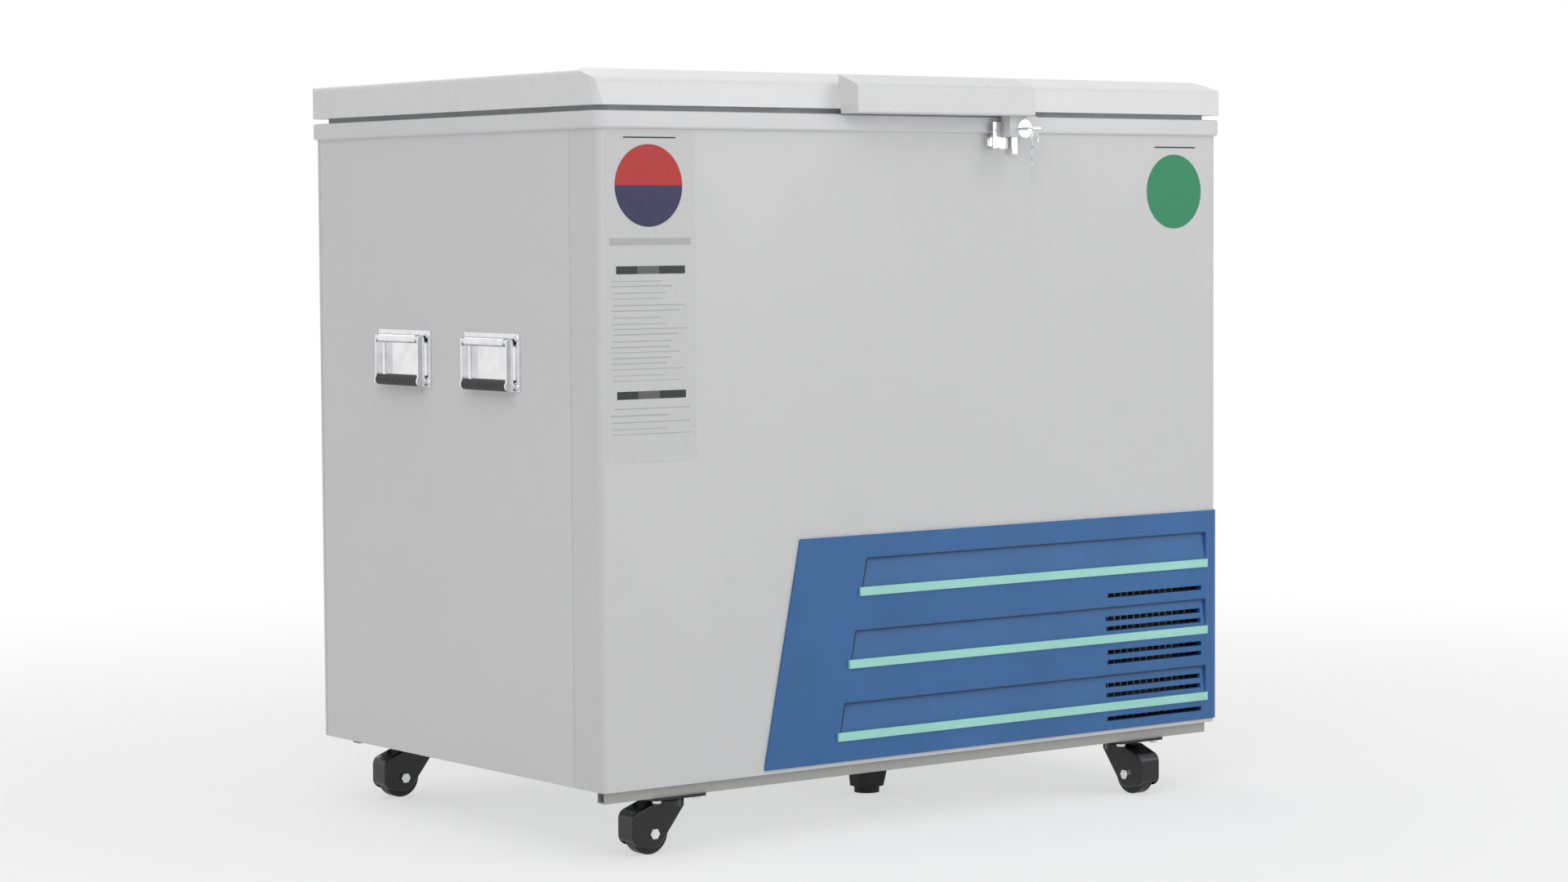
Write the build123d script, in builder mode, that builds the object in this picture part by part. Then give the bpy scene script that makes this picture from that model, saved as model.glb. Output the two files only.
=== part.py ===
from build123d import *
import os
from math import cos, radians, sin

os.makedirs("parts", exist_ok=True)

# Chest-type medical refrigerator on castors, in millimetres.
# +X runs along the front to the right, +Y from the front to the back, +Z up from the floor.
# The origin is on the floor, under the centre of the whole envelope.

# Cabinet
cabinet_width = 950.0
cabinet_depth = 628.0
cabinet_height = 748.0
sheet = 1.0
corner_radius = 9.0
front_return = 58.0
rear_return = 12.0
seam_gap = 0.6
hem_width = 14.0
base_sheet = 1.5

# Storage space
wall = 88.0
bay_wall = 56.0
mouth_radius = 22.0
well_floor_height = 172.0
step_height = 421.0
liner_sheet = 1.0

# Cold store behind the liner
ice_thickness = 22.0
ice_side_margin = 34.0
ice_base_gap = 10.0
ice_height = 385.0
coil_radius = 4.0
coil_pitch = 66.0
coil_turns = 6
lining_gap = 0.3

# Machine bay
bay_width = 239.0
bay_height = 285.0

# Collar and lid
collar_height = 20.0
collar_overhang = 5.0
ledge_width = 6.0
ledge_drop = 14.0
gasket_gap = 6.0
gasket_width = 14.0
gasket_inset = 14.0
gasket_compression_gap = 0.2
lid_overhang = 6.0
lid_back_overhang = 4.0
lid_skirt = 30.0
lid_crown = 13.0
lid_lean = 5.0
lid_bevel = 46.0
lid_bevel_round = 30.0
lid_back_round = 5.0
lid_side_round = 10.0
lid_side_drop = 5.0
lid_corner_radius = 14.0
lid_front_round = 8.0
lid_round = 8.0
lid_sheet = 2.0
plug_drop = 14.0
plug_gap = 6.0
plug_draft = 4.0

# Lid handle
pull_length = 272.0
pull_reach = 34.0
pull_height = 46.0
pull_front_drop = 12.0
pull_below = 6.0
pull_wall = 4.0
pull_nose_radius = 7.0

# Lid hinges
hinge_spacing = 600.0
hinge_base_width = 60.0
hinge_base_height = 75.0
hinge_base_depth = 22.0
hinge_base_drop = 3.0
hinge_foot = 4.0
hinge_axis_back = 16.0
hinge_axis_drop = 4.0
hinge_ear = 8.0
hinge_ear_radius = 9.0
hinge_knuckle_radius = 8.0
hinge_knuckle_width = 35.0
hinge_side_gap = 0.5
hinge_pin_radius = 4.0
hinge_plate_width = 70.0
hinge_plate_thickness = 4.0

# Lock
lock_x = 130.0
lock_z_drop = 15.0
lock_width = 46.0
lock_front_reach = 26.0
lock_back_reach = 9.0
lock_body_drop = 25.0
lock_neck_width = 22.0
lock_neck_height = 26.0
barrel_radius = 9.0
barrel_flange_radius = 11.0
barrel_flange = 1.5
cam_thickness = 2.0
cam_length = 30.0
cam_width = 8.0
key_bow_reach = 22.5
key_bow_width = 24.0
key_thickness = 2.4
keeper_left_x = 92.0
keeper_width = 40.0
keeper_height = 17.0
keeper_arm_width = 12.0
keeper_sheet = 2.0

# Grille
grille_height = 267.0
grille_bottom = 5.0
grille_left = 226.0
grille_slope = 0.2
grille_face = 2.5
grille_body = 7.0
grille_lap = 8.0
grille_side_wrap = 16.0
louvre_count = 3
louvre_pitch = 85.3
louvre_height = 34.5
louvre_first_top = 245.0
louvre_first_left = 377.0
louvre_right_margin = 21.0
louvre_depth = 4.5
louvre_lip = 1.0
strip_height = 10.5
strip_proud = 3.0
strip_overlap = 4.0
slot_length = 161.0
slot_height = 5.5
slot_right_margin = 28.5
slot_first_height = 174.0
slot_pair_offset = 29.5
slot_period = 41.8
slot_periods = 4

# Rails and castors
rail_width = 14.0
rail_height = 13.0
rail_wall = 1.5
rail_setback = 6.0
rail_left_gap = 5.0
rail_right_gap = 15.0
rail_rear_gap = 40.0
castor_height = 69.0
castor_left_inset = 109.0
castor_right_inset = 126.0
castor_inset = 40.0
castor_plate = 75.0
castor_pad_margin = 1.5
castor_plate_thickness = 3.0
castor_race_radius = 20.0
castor_race = 4.0
castor_bolt_spacing = 56.0
castor_bolt_radius = 3.0
castor_trail = 24.0
wheel_radius = 25.0
wheel_width = 20.0
hub_width = 22.0
fork_gap = 23.0
fork_width = 32.0
fork_head_radius = 22.0
fork_head_height = 8.0
hood_radius = 28.5
hood_well_radius = 26.5
hood_drop = 2.0
hood_shoulder = 12.0
leg_radius = 17.0
stem_radius = 5.0
axle_radius = 4.0
foot_x = 95.0
foot_y = 235.0
foot_lift = 1.0

# Lifting handles on the sides
bail_positions = (221.0, 416.0)
bail_plate_width = 119.0
bail_plate_above = 10.0
bail_plate_below = 57.0
bail_plate_thickness = 2.0
bail_pivot_height = 505.0
bail_width = 100.0
bail_arm = 3.0
bail_arm_width = 9.0
bail_drop = 50.5
bail_stand_off = 9.0
bail_bar_radius = 3.5
bail_channel_length = 84.0
grip_radius = 6.3
rod_radius = 3.0

# Clearances
running_fit = 0.05
slip_gap = 0.3
hole_clearance = 0.3

# Levels and faces worked out from the sizes above
half_width = cabinet_width / 2
hem_z = castor_height + rail_height
top_z = hem_z + cabinet_height
tray_z = hem_z + sheet
foam_bottom_z = tray_z + base_sheet
foam_top_z = top_z - sheet
collar_top_z = top_z + collar_height
lid_bottom_z = collar_top_z + gasket_gap
lid_edge_z = lid_bottom_z + lid_skirt
crest_z = lid_edge_z + lid_crown
well_floor_z = well_floor_height
step_z = step_height
bay_x = half_width - bay_width
bay_top_z = hem_z + bay_height

front_reach = lock_front_reach + barrel_flange + key_bow_reach
rear_reach = hinge_axis_back + hinge_ear_radius
front_y = front_reach - (front_reach + cabinet_depth + rear_reach) / 2
back_y = front_y + cabinet_depth
middle_y = (front_y + back_y) / 2

mouth_width = cabinet_width - 2 * wall
mouth_depth = cabinet_depth - 2 * wall
mouth_x = mouth_width / 2
mouth_front_y = middle_y - mouth_depth / 2
mouth_back_y = middle_y + mouth_depth / 2
well_right_x = bay_x - bay_wall
pocket_offset = liner_sheet + ice_thickness + 2 * lining_gap + 2 * coil_radius
lid_x = half_width + lid_overhang
lid_front_y = front_y - lid_overhang
lid_back_y = back_y + lid_back_overhang
hinge_y = back_y + hinge_axis_back
hinge_z = collar_top_z - hinge_axis_drop
lock_z = collar_top_z - lock_z_drop
castor_left_x = castor_left_inset - half_width
castor_right_x = half_width - castor_right_inset
axle_z = wheel_radius
plate_z = castor_height - castor_plate_thickness
race_z = plate_z - castor_race
fork_top_z = race_z - slip_gap


def span_rectangle(low_a, high_a, low_b, high_b, mode=Mode.ADD):
    """A rectangle in the current sketch, given by its limits."""
    with Locations(((low_a + high_a) / 2, (low_b + high_b) / 2)):
        Rectangle(high_a - low_a, high_b - low_b, mode=mode)


def rounded_span(low_a, high_a, low_b, high_b, radius, mode=Mode.ADD):
    """The same with rounded corners."""
    with Locations(((low_a + high_a) / 2, (low_b + high_b) / 2)):
        RectangleRounded(high_a - low_a, high_b - low_b, radius, mode=mode)


def facing_front(y):
    """Vertical plane at depth y: local x along X, local y up, extruding towards the front."""
    return Plane.XZ.offset(-y)


def facing_right(x):
    """Vertical plane at x: local x along Y, local y up, extruding towards the right."""
    return Plane.YZ.offset(x)


def pan_screws(points, face_y, grip_length):
    """Pan-head screws driven towards the front, seated on a face that looks to the back."""
    with BuildPart() as screws:
        with BuildSketch(Plane.XZ.offset(-face_y)):
            with Locations(*points):
                Circle(screw_radius)
        extrude(amount=grip_length)
        with BuildSketch(Plane.XZ.offset(-face_y)):
            with Locations(*points):
                Circle(2 * screw_radius)
        extrude(amount=-2.2, taper=25)
    return screws.part


def write(piece, name):
    """Labels a finished piece and writes its file."""
    piece.part.label = name
    export_step(piece.part, f"parts/{name}.step")


# Outer panels


def wrapped_panel(low_y, high_y):
    """A sheet panel folded back round two corners of the cabinet, with a hem along its foot."""
    with BuildPart() as panel:
        with BuildSketch(Plane.XY.offset(hem_z)):
            rounded_span(-half_width, half_width, front_y, back_y, corner_radius)
            span_rectangle(-half_width, half_width, low_y, high_y, mode=Mode.INTERSECT)
        extrude(amount=cabinet_height)
        with BuildSketch(Plane.XY.offset(tray_z)):
            inner_x = half_width - sheet
            rounded_span(-inner_x, inner_x, front_y + sheet, back_y - sheet, corner_radius - sheet)
        extrude(amount=cabinet_height, mode=Mode.SUBTRACT)
        with BuildSketch(Plane.XY.offset(hem_z)):
            hem_x = half_width - hem_width
            span_rectangle(-hem_x, hem_x, front_y + hem_width, back_y - hem_width)
        extrude(amount=sheet, mode=Mode.SUBTRACT)
    return panel.part


def grille_edge_x(z):
    """Where the grille's slanted left edge stands at a level."""
    return grille_left - half_width + grille_slope * (z - hem_z - grille_bottom)


def grille_corners(inset, right_x):
    """Corners of the grille's trapezium in the front plane, drawn in by an inset."""
    low_z = hem_z + grille_bottom + inset
    high_z = hem_z + grille_bottom + grille_height - inset
    return (
        (grille_edge_x(low_z) + inset, low_z),
        (right_x, low_z),
        (right_x, high_z),
        (grille_edge_x(high_z) + inset, high_z),
    )


grille_window_x = half_width - grille_side_wrap

with BuildPart() as front_panel:
    add(wrapped_panel(front_y, front_y + front_return))
    with BuildSketch(facing_front(front_y + 2 * sheet)):
        Polygon(*grille_corners(grille_lap, grille_window_x), align=None)
    extrude(amount=3 * sheet, mode=Mode.SUBTRACT)
write(front_panel, "front_panel")

vent_low_x = bay_x + 20.0
vent_high_x = half_width - 20.0
vent_low_z = hem_z + 20.0
vent_high_z = bay_top_z - 17.0
vent_lap = 10.0
screw_radius = 2.2
hinge_screw_spacing_x = 18.0
hinge_screw_spacing_z = 44.0
hinge_centers = (-hinge_spacing / 2, hinge_spacing / 2)
hinge_base_top_z = top_z - hinge_base_drop
rear_screw_points = [
    (center_x + dx, hinge_base_top_z - hinge_base_height / 2 - 6 + dz)
    for center_x in hinge_centers
    for dx in (-hinge_screw_spacing_x / 2, hinge_screw_spacing_x / 2)
    for dz in (-hinge_screw_spacing_z / 2, hinge_screw_spacing_z / 2)
]
cover_screw_points = [
    (x, z)
    for x in (vent_low_x - vent_lap / 2, vent_high_x + vent_lap / 2)
    for z in (vent_low_z, (vent_low_z + vent_high_z) / 2, vent_high_z)
]

with BuildPart() as rear_panel:
    add(wrapped_panel(back_y - rear_return, back_y))
    with BuildSketch(facing_front(back_y + sheet)):
        span_rectangle(vent_low_x, vent_high_x, vent_low_z, vent_high_z)
        with Locations(*rear_screw_points, *cover_screw_points):
            Circle(screw_radius + hole_clearance)
    extrude(amount=3 * sheet, mode=Mode.SUBTRACT)
write(rear_panel, "rear_panel")

side_low_y = front_y + front_return + seam_gap
side_high_y = back_y - rear_return - seam_gap
side_vent_rows = 9
side_vent_columns = 3
side_vent_length = 62.0
side_vent_height = 4.0
rivet_radius = 2.0
rivet_inset = 5.5
bail_rivet_spacing_y = bail_plate_width - 2 * rivet_inset
bail_rivet_spacing_z = bail_plate_above + bail_plate_below - 2 * rivet_inset
bail_rivet_z = bail_pivot_height + (bail_plate_above - bail_plate_below) / 2


def side_panel(side):
    """A flat side sheet with its hem, and the holes that the lifting handles are riveted through."""
    with BuildPart() as panel:
        with BuildSketch(Plane.XZ.offset(-side_high_y)):
            outer = side * half_width
            span_rectangle(*sorted((outer, outer - side * sheet)), hem_z, top_z)
            span_rectangle(*sorted((outer, outer - side * hem_width)), hem_z, tray_z)
        extrude(amount=side_high_y - side_low_y)
        with BuildSketch(facing_right(side * half_width - 2 * sheet)):
            for handle_y in bail_positions:
                with Locations((front_y + handle_y, hem_z + bail_rivet_z)):
                    with GridLocations(bail_rivet_spacing_y, bail_rivet_spacing_z, 2, 2):
                        Circle(rivet_radius + hole_clearance)
        extrude(amount=4 * sheet, mode=Mode.SUBTRACT)
    return panel.part


with BuildPart() as left_side_panel:
    add(side_panel(-1))
write(left_side_panel, "left_side_panel")

with BuildPart() as right_side_panel:
    add(side_panel(1))
    with BuildSketch(facing_right(half_width - 2 * sheet)):
        with Locations((middle_y, (vent_low_z + vent_high_z) / 2)):
            with GridLocations(side_vent_length + 18, side_vent_height + 14, side_vent_columns, side_vent_rows):
                SlotOverall(side_vent_length, side_vent_height)
    extrude(amount=3 * sheet, mode=Mode.SUBTRACT)
write(right_side_panel, "right_side_panel")

# Base tray, closing the cabinet from below, with air slots under the machine bay

with BuildPart() as base_tray:
    with BuildSketch(Plane.XY.offset(tray_z)):
        tray_x = half_width - sheet - slip_gap
        rounded_span(-tray_x, tray_x, front_y + sheet + slip_gap, back_y - sheet - slip_gap, corner_radius)
        with Locations(((bay_x + half_width) / 2, middle_y)):
            with GridLocations(90, 60, 2, 3):
                SlotOverall(70, 6, mode=Mode.SUBTRACT)
    extrude(amount=base_sheet)
write(base_tray, "base_tray")

# Machine bay sheet, between the foam and the machinery

bay_front_y = front_y + grille_body + slip_gap

with BuildPart() as machine_bay_sheet:
    with BuildSketch(Plane.XZ.offset(-(back_y - sheet))):
        span_rectangle(bay_x, bay_x + sheet, foam_bottom_z, bay_top_z)
        span_rectangle(bay_x, half_width - sheet, bay_top_z, bay_top_z + sheet)
    extrude(amount=back_y - sheet - bay_front_y)
    with BuildSketch(Plane.XY.offset(foam_bottom_z)):
        rounded_span(bay_x - corner_radius, half_width - sheet, front_y + sheet, back_y - sheet, corner_radius)
    extrude(amount=bay_height, mode=Mode.INTERSECT)
write(machine_bay_sheet, "machine_bay_sheet")

# Foam insulation, moulded round the liner, the cold store and the machine bay

with BuildPart() as insulation_foam:
    with BuildSketch(Plane.XY.offset(foam_bottom_z)):
        foam_x = half_width - sheet
        rounded_span(-foam_x, foam_x, front_y + sheet, back_y - sheet, corner_radius)
    extrude(amount=foam_top_z - foam_bottom_z)
    with BuildSketch(Plane.XY.offset(step_z - liner_sheet)):
        rounded_span(
            -mouth_x - pocket_offset,
            mouth_x + pocket_offset,
            mouth_front_y - pocket_offset,
            mouth_back_y + pocket_offset,
            mouth_radius + pocket_offset,
        )
    extrude(amount=foam_top_z - step_z + liner_sheet, mode=Mode.SUBTRACT)
    with BuildSketch(Plane.XY.offset(well_floor_z - liner_sheet)):
        rounded_span(
            -mouth_x - liner_sheet,
            well_right_x + liner_sheet,
            mouth_front_y - liner_sheet,
            mouth_back_y + liner_sheet,
            mouth_radius,
        )
    extrude(amount=step_z - well_floor_z, mode=Mode.SUBTRACT)
    with BuildSketch(facing_front(back_y)):
        span_rectangle(bay_x, half_width, foam_bottom_z, bay_top_z + sheet)
    extrude(amount=cabinet_depth, mode=Mode.SUBTRACT)
    with BuildSketch(facing_front(front_y + grille_body + slip_gap)):
        Polygon(*grille_corners(grille_lap, grille_window_x), align=None)
    extrude(amount=grille_body, mode=Mode.SUBTRACT)
write(insulation_foam, "insulation_foam")

# Stepped inner liner, one folded and welded aluminium box with a flange over the foam


def liner_form(grow, drop):
    """The storage space, with its step over the machine bay, grown outwards."""
    with BuildPart() as form:
        with BuildSketch(Plane.XY.offset(step_z - drop)):
            rounded_span(
                -mouth_x - grow, mouth_x + grow, mouth_front_y - grow, mouth_back_y + grow, mouth_radius + grow
            )
        extrude(amount=top_z - step_z + drop)
        with BuildSketch(Plane.XY.offset(well_floor_z - drop)):
            rounded_span(
                -mouth_x - grow,
                well_right_x + grow,
                mouth_front_y - grow,
                mouth_back_y + grow,
                mouth_radius + grow,
            )
        extrude(amount=step_z - well_floor_z + drop)
    return form.part


with BuildPart() as inner_liner:
    add(liner_form(liner_sheet, liner_sheet))
    with BuildSketch(Plane.XY.offset(foam_top_z)):
        rounded_span(-foam_x, foam_x, front_y + sheet, back_y - sheet, corner_radius)
    extrude(amount=sheet)
    add(liner_form(0, 0), mode=Mode.SUBTRACT)
write(inner_liner, "inner_liner")

# Ice lining, four flat water packs standing round the liner above the step

ice_low_z = step_z + ice_base_gap
ice_offset = liner_sheet + lining_gap
ice_half_x = mouth_x - ice_side_margin
ice_half_y = mouth_depth / 2 - ice_side_margin

with BuildPart() as ice_lining_packs:
    with BuildSketch(Plane.XY.offset(step_z - liner_sheet)):
        for side in (-1, 1):
            near_y = middle_y + side * (mouth_depth / 2 + ice_offset)
            limits = sorted((near_y, near_y + side * ice_thickness))
            rounded_span(-ice_half_x, ice_half_x, *limits, ice_thickness / 3)
            near_x = side * (mouth_x + ice_offset)
            limits = sorted((near_x, near_x + side * ice_thickness))
            rounded_span(*limits, middle_y - ice_half_y, middle_y + ice_half_y, ice_thickness / 3)
    extrude(amount=ice_height + ice_base_gap)
write(ice_lining_packs, "ice_lining_packs")

# Evaporator, tube rings round the ice packs joined by two risers

coil_offset = ice_offset + ice_thickness + lining_gap + coil_radius
coil_half_x = mouth_x + coil_offset
coil_half_y = mouth_depth / 2 + coil_offset
riser_x = coil_half_x / 3

with BuildPart() as evaporator_coil:
    for turn in range(coil_turns):
        coil_z = ice_low_z + coil_radius + turn * coil_pitch
        with BuildLine():
            ring = FilletPolyline(
                (riser_x - coil_radius / 2, middle_y - coil_half_y, coil_z),
                (coil_half_x, middle_y - coil_half_y, coil_z),
                (coil_half_x, middle_y + coil_half_y, coil_z),
                (-coil_half_x, middle_y + coil_half_y, coil_z),
                (-coil_half_x, middle_y - coil_half_y, coil_z),
                (coil_radius / 2 - riser_x, middle_y - coil_half_y, coil_z),
                radius=mouth_radius + coil_offset,
            )
        with BuildSketch(Plane(origin=ring @ 0, z_dir=ring % 0)):
            Circle(coil_radius)
        sweep(path=ring)
    with BuildSketch(Plane.XY.offset(ice_low_z)):
        with Locations((riser_x, middle_y - coil_half_y), (-riser_x, middle_y - coil_half_y)):
            Circle(coil_radius)
    extrude(amount=2 * coil_radius + (coil_turns - 1) * coil_pitch)
write(evaporator_coil, "evaporator_coil")

# Collar, the moulded frame round the mouth, with a ledge for the baskets

with BuildPart() as collar_frame:
    with BuildSketch(Plane.XY.offset(top_z)):
        rounded_span(
            -half_width - collar_overhang,
            half_width + collar_overhang,
            front_y - collar_overhang,
            back_y + collar_overhang,
            corner_radius + collar_overhang,
        )
    extrude(amount=collar_height)
    fillet(collar_frame.faces().sort_by(Axis.Z)[-1].outer_wire().edges(), 2.5)
    chamfer(collar_frame.faces().sort_by(Axis.Z)[0].outer_wire().edges(), 2)
    with BuildSketch(Plane.XY.offset(top_z)):
        rounded_span(-mouth_x, mouth_x, mouth_front_y, mouth_back_y, mouth_radius)
    extrude(amount=collar_height, mode=Mode.SUBTRACT)
    with BuildSketch(Plane.XY.offset(collar_top_z - ledge_drop)):
        rounded_span(
            -mouth_x - ledge_width,
            mouth_x + ledge_width,
            mouth_front_y - ledge_width,
            mouth_back_y + ledge_width,
            mouth_radius + ledge_width,
        )
    extrude(amount=ledge_drop, mode=Mode.SUBTRACT)
write(collar_frame, "collar_frame")

# Storage basket, five slotted panels hung on the collar's ledge over the step

basket_gap = 7.0
basket_sheet = 1.5
basket_height = 210.0
basket_hook = 3.5
basket_slot = 26.0
basket_bar = 20.0
basket_margin = 30.0
ledge_z = collar_top_z - ledge_drop
basket_low_z = ledge_z - basket_height
basket_x = mouth_width / 4
half_x = mouth_width / 4 - basket_gap
half_y = mouth_depth / 2 - basket_gap
inner_x = half_x - basket_sheet
inner_y = half_y - basket_sheet
slot_pitch = basket_slot + basket_bar
long_count = int((2 * half_y - basket_bar) / slot_pitch)
short_count = int((2 * half_x - basket_bar) / slot_pitch)
wall_slot_length = basket_height - 2 * basket_margin
floor_slot_length = half_x - 2 * basket_bar

with BuildPart() as storage_basket:
    for end in (-1, 1):
        with BuildSketch(Plane.XY.offset(basket_low_z)):
            limits = sorted((middle_y + end * half_y, middle_y + end * inner_y))
            span_rectangle(basket_x - half_x, basket_x + half_x, *limits)
        extrude(amount=basket_height + basket_sheet)
        with BuildSketch(Plane.XY.offset(ledge_z)):
            limits = sorted((middle_y + end * inner_y, middle_y + end * (mouth_depth / 2 + basket_hook)))
            rim_x = half_x - 2 * basket_bar
            span_rectangle(basket_x - rim_x, basket_x + rim_x, *limits)
        extrude(amount=basket_sheet)
        with BuildSketch(Plane.XY.offset(basket_low_z)):
            limits = sorted((basket_x + end * half_x, basket_x + end * inner_x))
            span_rectangle(*limits, middle_y - inner_y + slip_gap, middle_y + inner_y - slip_gap)
        extrude(amount=basket_height + basket_sheet)
    with BuildSketch(Plane.XY.offset(basket_low_z)):
        floor_x = inner_x - slip_gap
        floor_y = inner_y - slip_gap
        span_rectangle(basket_x - floor_x, basket_x + floor_x, middle_y - floor_y, middle_y + floor_y)
    extrude(amount=basket_sheet)
    with BuildSketch(facing_front(middle_y + half_y + 1)):
        with Locations((basket_x, ledge_z - basket_height / 2)):
            with GridLocations(slot_pitch, 1, short_count, 1):
                SlotOverall(wall_slot_length, basket_slot, rotation=90)
    extrude(amount=2 * half_y + 2, mode=Mode.SUBTRACT)
    with BuildSketch(facing_right(basket_x - half_x - 1)):
        with Locations((middle_y, ledge_z - basket_height / 2)):
            with GridLocations(slot_pitch, 1, long_count, 1):
                SlotOverall(wall_slot_length, basket_slot, rotation=90)
    extrude(amount=2 * half_x + 2, mode=Mode.SUBTRACT)
    with BuildSketch(Plane.XY.offset(basket_low_z)):
        with Locations((basket_x, middle_y)):
            with GridLocations(floor_slot_length + basket_bar, slot_pitch, 2, long_count):
                SlotOverall(floor_slot_length, basket_slot)
    extrude(amount=basket_sheet, mode=Mode.SUBTRACT)
write(storage_basket, "storage_basket")

# Front grille, wrapped round the right-hand corner, with sunk louvres and air slots


def louvre_top_z(index):
    """Level of one louvre's upper edge."""
    return hem_z + louvre_first_top - index * louvre_pitch


def louvre_left_x(index, z):
    """Where one louvre's slanted left edge stands at a level."""
    return louvre_first_left - half_width + grille_slope * (z - louvre_top_z(0))


louvre_right_x = half_width - louvre_right_margin
grille_low_z = hem_z + grille_bottom
grille_high_z = grille_low_z + grille_height
grille_face_y = front_y - grille_face


def louvre_pocket(index):
    """The wedge that one louvre is sunk by: deep along its top, nearly flush along its foot."""
    top = louvre_top_z(index)
    foot = top - louvre_height
    with BuildPart() as pocket:
        with BuildSketch(facing_right(louvre_left_x(index, foot) - louvre_height)):
            with BuildLine():
                Polyline(
                    (grille_face_y - grille_face, foot),
                    (grille_face_y + louvre_lip, foot),
                    (grille_face_y + louvre_depth, top),
                    (grille_face_y - grille_face, top),
                    close=True,
                )
            make_face()
        extrude(amount=cabinet_width)
        with BuildSketch(facing_front(front_y + grille_body)):
            with BuildLine():
                Polyline(
                    (louvre_left_x(index, foot), foot),
                    (louvre_right_x, foot),
                    (louvre_right_x, top),
                    (louvre_left_x(index, top), top),
                    close=True,
                )
            make_face()
        extrude(amount=2 * grille_body, mode=Mode.INTERSECT)
    return pocket.part


slot_levels = [
    hem_z + slot_first_height - period * slot_period - offset
    for period in range(slot_periods)
    for offset in (0, slot_pair_offset)
]
slot_x = half_width - slot_right_margin - slot_length

with BuildPart() as front_grille:
    with BuildSketch(Plane.XY.offset(grille_low_z)):
        with BuildLine():
            inner = FilletPolyline(
                (grille_edge_x(grille_low_z), front_y),
                (half_width, front_y),
                (half_width, front_y + grille_side_wrap),
                radius=corner_radius,
            )
            outer = FilletPolyline(
                (grille_edge_x(grille_low_z), grille_face_y),
                (half_width + grille_face, grille_face_y),
                (half_width + grille_face, front_y + grille_side_wrap),
                radius=corner_radius + grille_face,
            )
            Line(inner @ 0, outer @ 0)
            Line(inner @ 1, outer @ 1)
        make_face()
    extrude(amount=grille_height)
    with BuildSketch(facing_front(front_y + grille_body)):
        Polygon(*grille_corners(grille_lap + slip_gap, grille_window_x - slip_gap), align=None)
    extrude(amount=grille_body)
    with BuildSketch(facing_front(front_y + grille_body)):
        with BuildLine():
            Polyline(
                (grille_edge_x(grille_low_z) - 1, grille_low_z),
                (grille_edge_x(grille_high_z), grille_high_z),
                (grille_edge_x(grille_low_z) - 1, grille_high_z),
                close=True,
            )
        make_face()
    extrude(amount=2 * grille_body, mode=Mode.SUBTRACT)
    for index in range(louvre_count):
        add(louvre_pocket(index), mode=Mode.SUBTRACT)
    with BuildSketch(facing_front(front_y + grille_body)):
        with Locations(*[(slot_x + slot_length / 2, level) for level in slot_levels]):
            Rectangle(slot_length, slot_height)
    extrude(amount=2 * grille_body, mode=Mode.SUBTRACT)
write(front_grille, "front_grille")

# Accent strips, one bar along the foot of each louvre

with BuildPart() as accent_strips:
    for index in range(louvre_count):
        strip_high_z = louvre_top_z(index) - louvre_height
        strip_low_z = strip_high_z - strip_height
        strip_left_x = louvre_left_x(index, strip_high_z) - strip_overlap
        with BuildSketch(facing_right(strip_left_x)) as strip_section:
            span_rectangle(grille_face_y - strip_proud, grille_face_y, strip_low_z, strip_high_z)
            fillet(strip_section.vertices().group_by(Axis.Y)[0], 1)
        extrude(amount=louvre_right_x + 1 - strip_left_x)
write(accent_strips, "accent_strips")

# Rear vent cover over the machine bay, with the power inlet in it

inlet_x = vent_low_x + 40.0
inlet_z = vent_low_z + 26.0
inlet_width = 28.0
inlet_height = 20.0
inlet_flange_width = 50.0
inlet_flange_height = 23.0
inlet_flange = 2.5
inlet_depth = 18.0
inlet_wall = 1.6

with BuildPart() as rear_vent_cover:
    with BuildSketch(facing_front(back_y + sheet)):
        rounded_span(
            vent_low_x - vent_lap, vent_high_x + vent_lap, vent_low_z - vent_lap, vent_high_z + vent_lap, 4
        )
        with Locations(((vent_low_x + vent_high_x) / 2, vent_high_z - 90)):
            with GridLocations(60, 11, 3, 14):
                SlotOverall(50, 5, mode=Mode.SUBTRACT)
        with Locations((inlet_x, inlet_z)):
            Rectangle(inlet_width + slip_gap, inlet_height + slip_gap, mode=Mode.SUBTRACT)
        with Locations(*cover_screw_points):
            Circle(screw_radius + hole_clearance, mode=Mode.SUBTRACT)
    extrude(amount=sheet)
write(rear_vent_cover, "rear_vent_cover")

pin_spacing = 7.0
pin_rise = 4.0
pin_setback = 3.0

with BuildPart() as power_inlet:
    with BuildSketch(facing_front(back_y + sheet + inlet_flange)):
        with Locations((inlet_x, inlet_z)):
            RectangleRounded(inlet_flange_width, inlet_flange_height, 4)
    extrude(amount=inlet_flange)
    with BuildSketch(facing_front(back_y + sheet)):
        with Locations((inlet_x, inlet_z)):
            Rectangle(inlet_width, inlet_height)
    extrude(amount=inlet_depth)
    with BuildSketch(facing_front(back_y + sheet + inlet_flange)):
        with Locations((inlet_x, inlet_z)):
            RectangleRounded(inlet_width - 2 * inlet_wall, inlet_height - 2 * inlet_wall, 2)
    extrude(amount=inlet_depth, mode=Mode.SUBTRACT)
    with BuildSketch(facing_front(back_y - pin_setback)):
        with Locations(
            (inlet_x - pin_spacing, inlet_z), (inlet_x + pin_spacing, inlet_z), (inlet_x, inlet_z + pin_rise)
        ):
            Rectangle(2, 4)
    extrude(amount=inlet_depth - sheet - pin_setback)
write(power_inlet, "power_inlet")

# Machinery: compressor on its rubber mounts

compressor_x = (bay_x + half_width) / 2 + 4.0
compressor_setback = 190.0
compressor_y = back_y - compressor_setback
mount_height = 14.0
mount_radius = 9.0
mount_spacing_x = 168.0
mount_spacing_y = 96.0
foot_plate = 3.0
shell_radius = 68.0
shell_height = 150.0
shell_dome = 34.0
foot_plate_z = foam_bottom_z + mount_height

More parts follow.
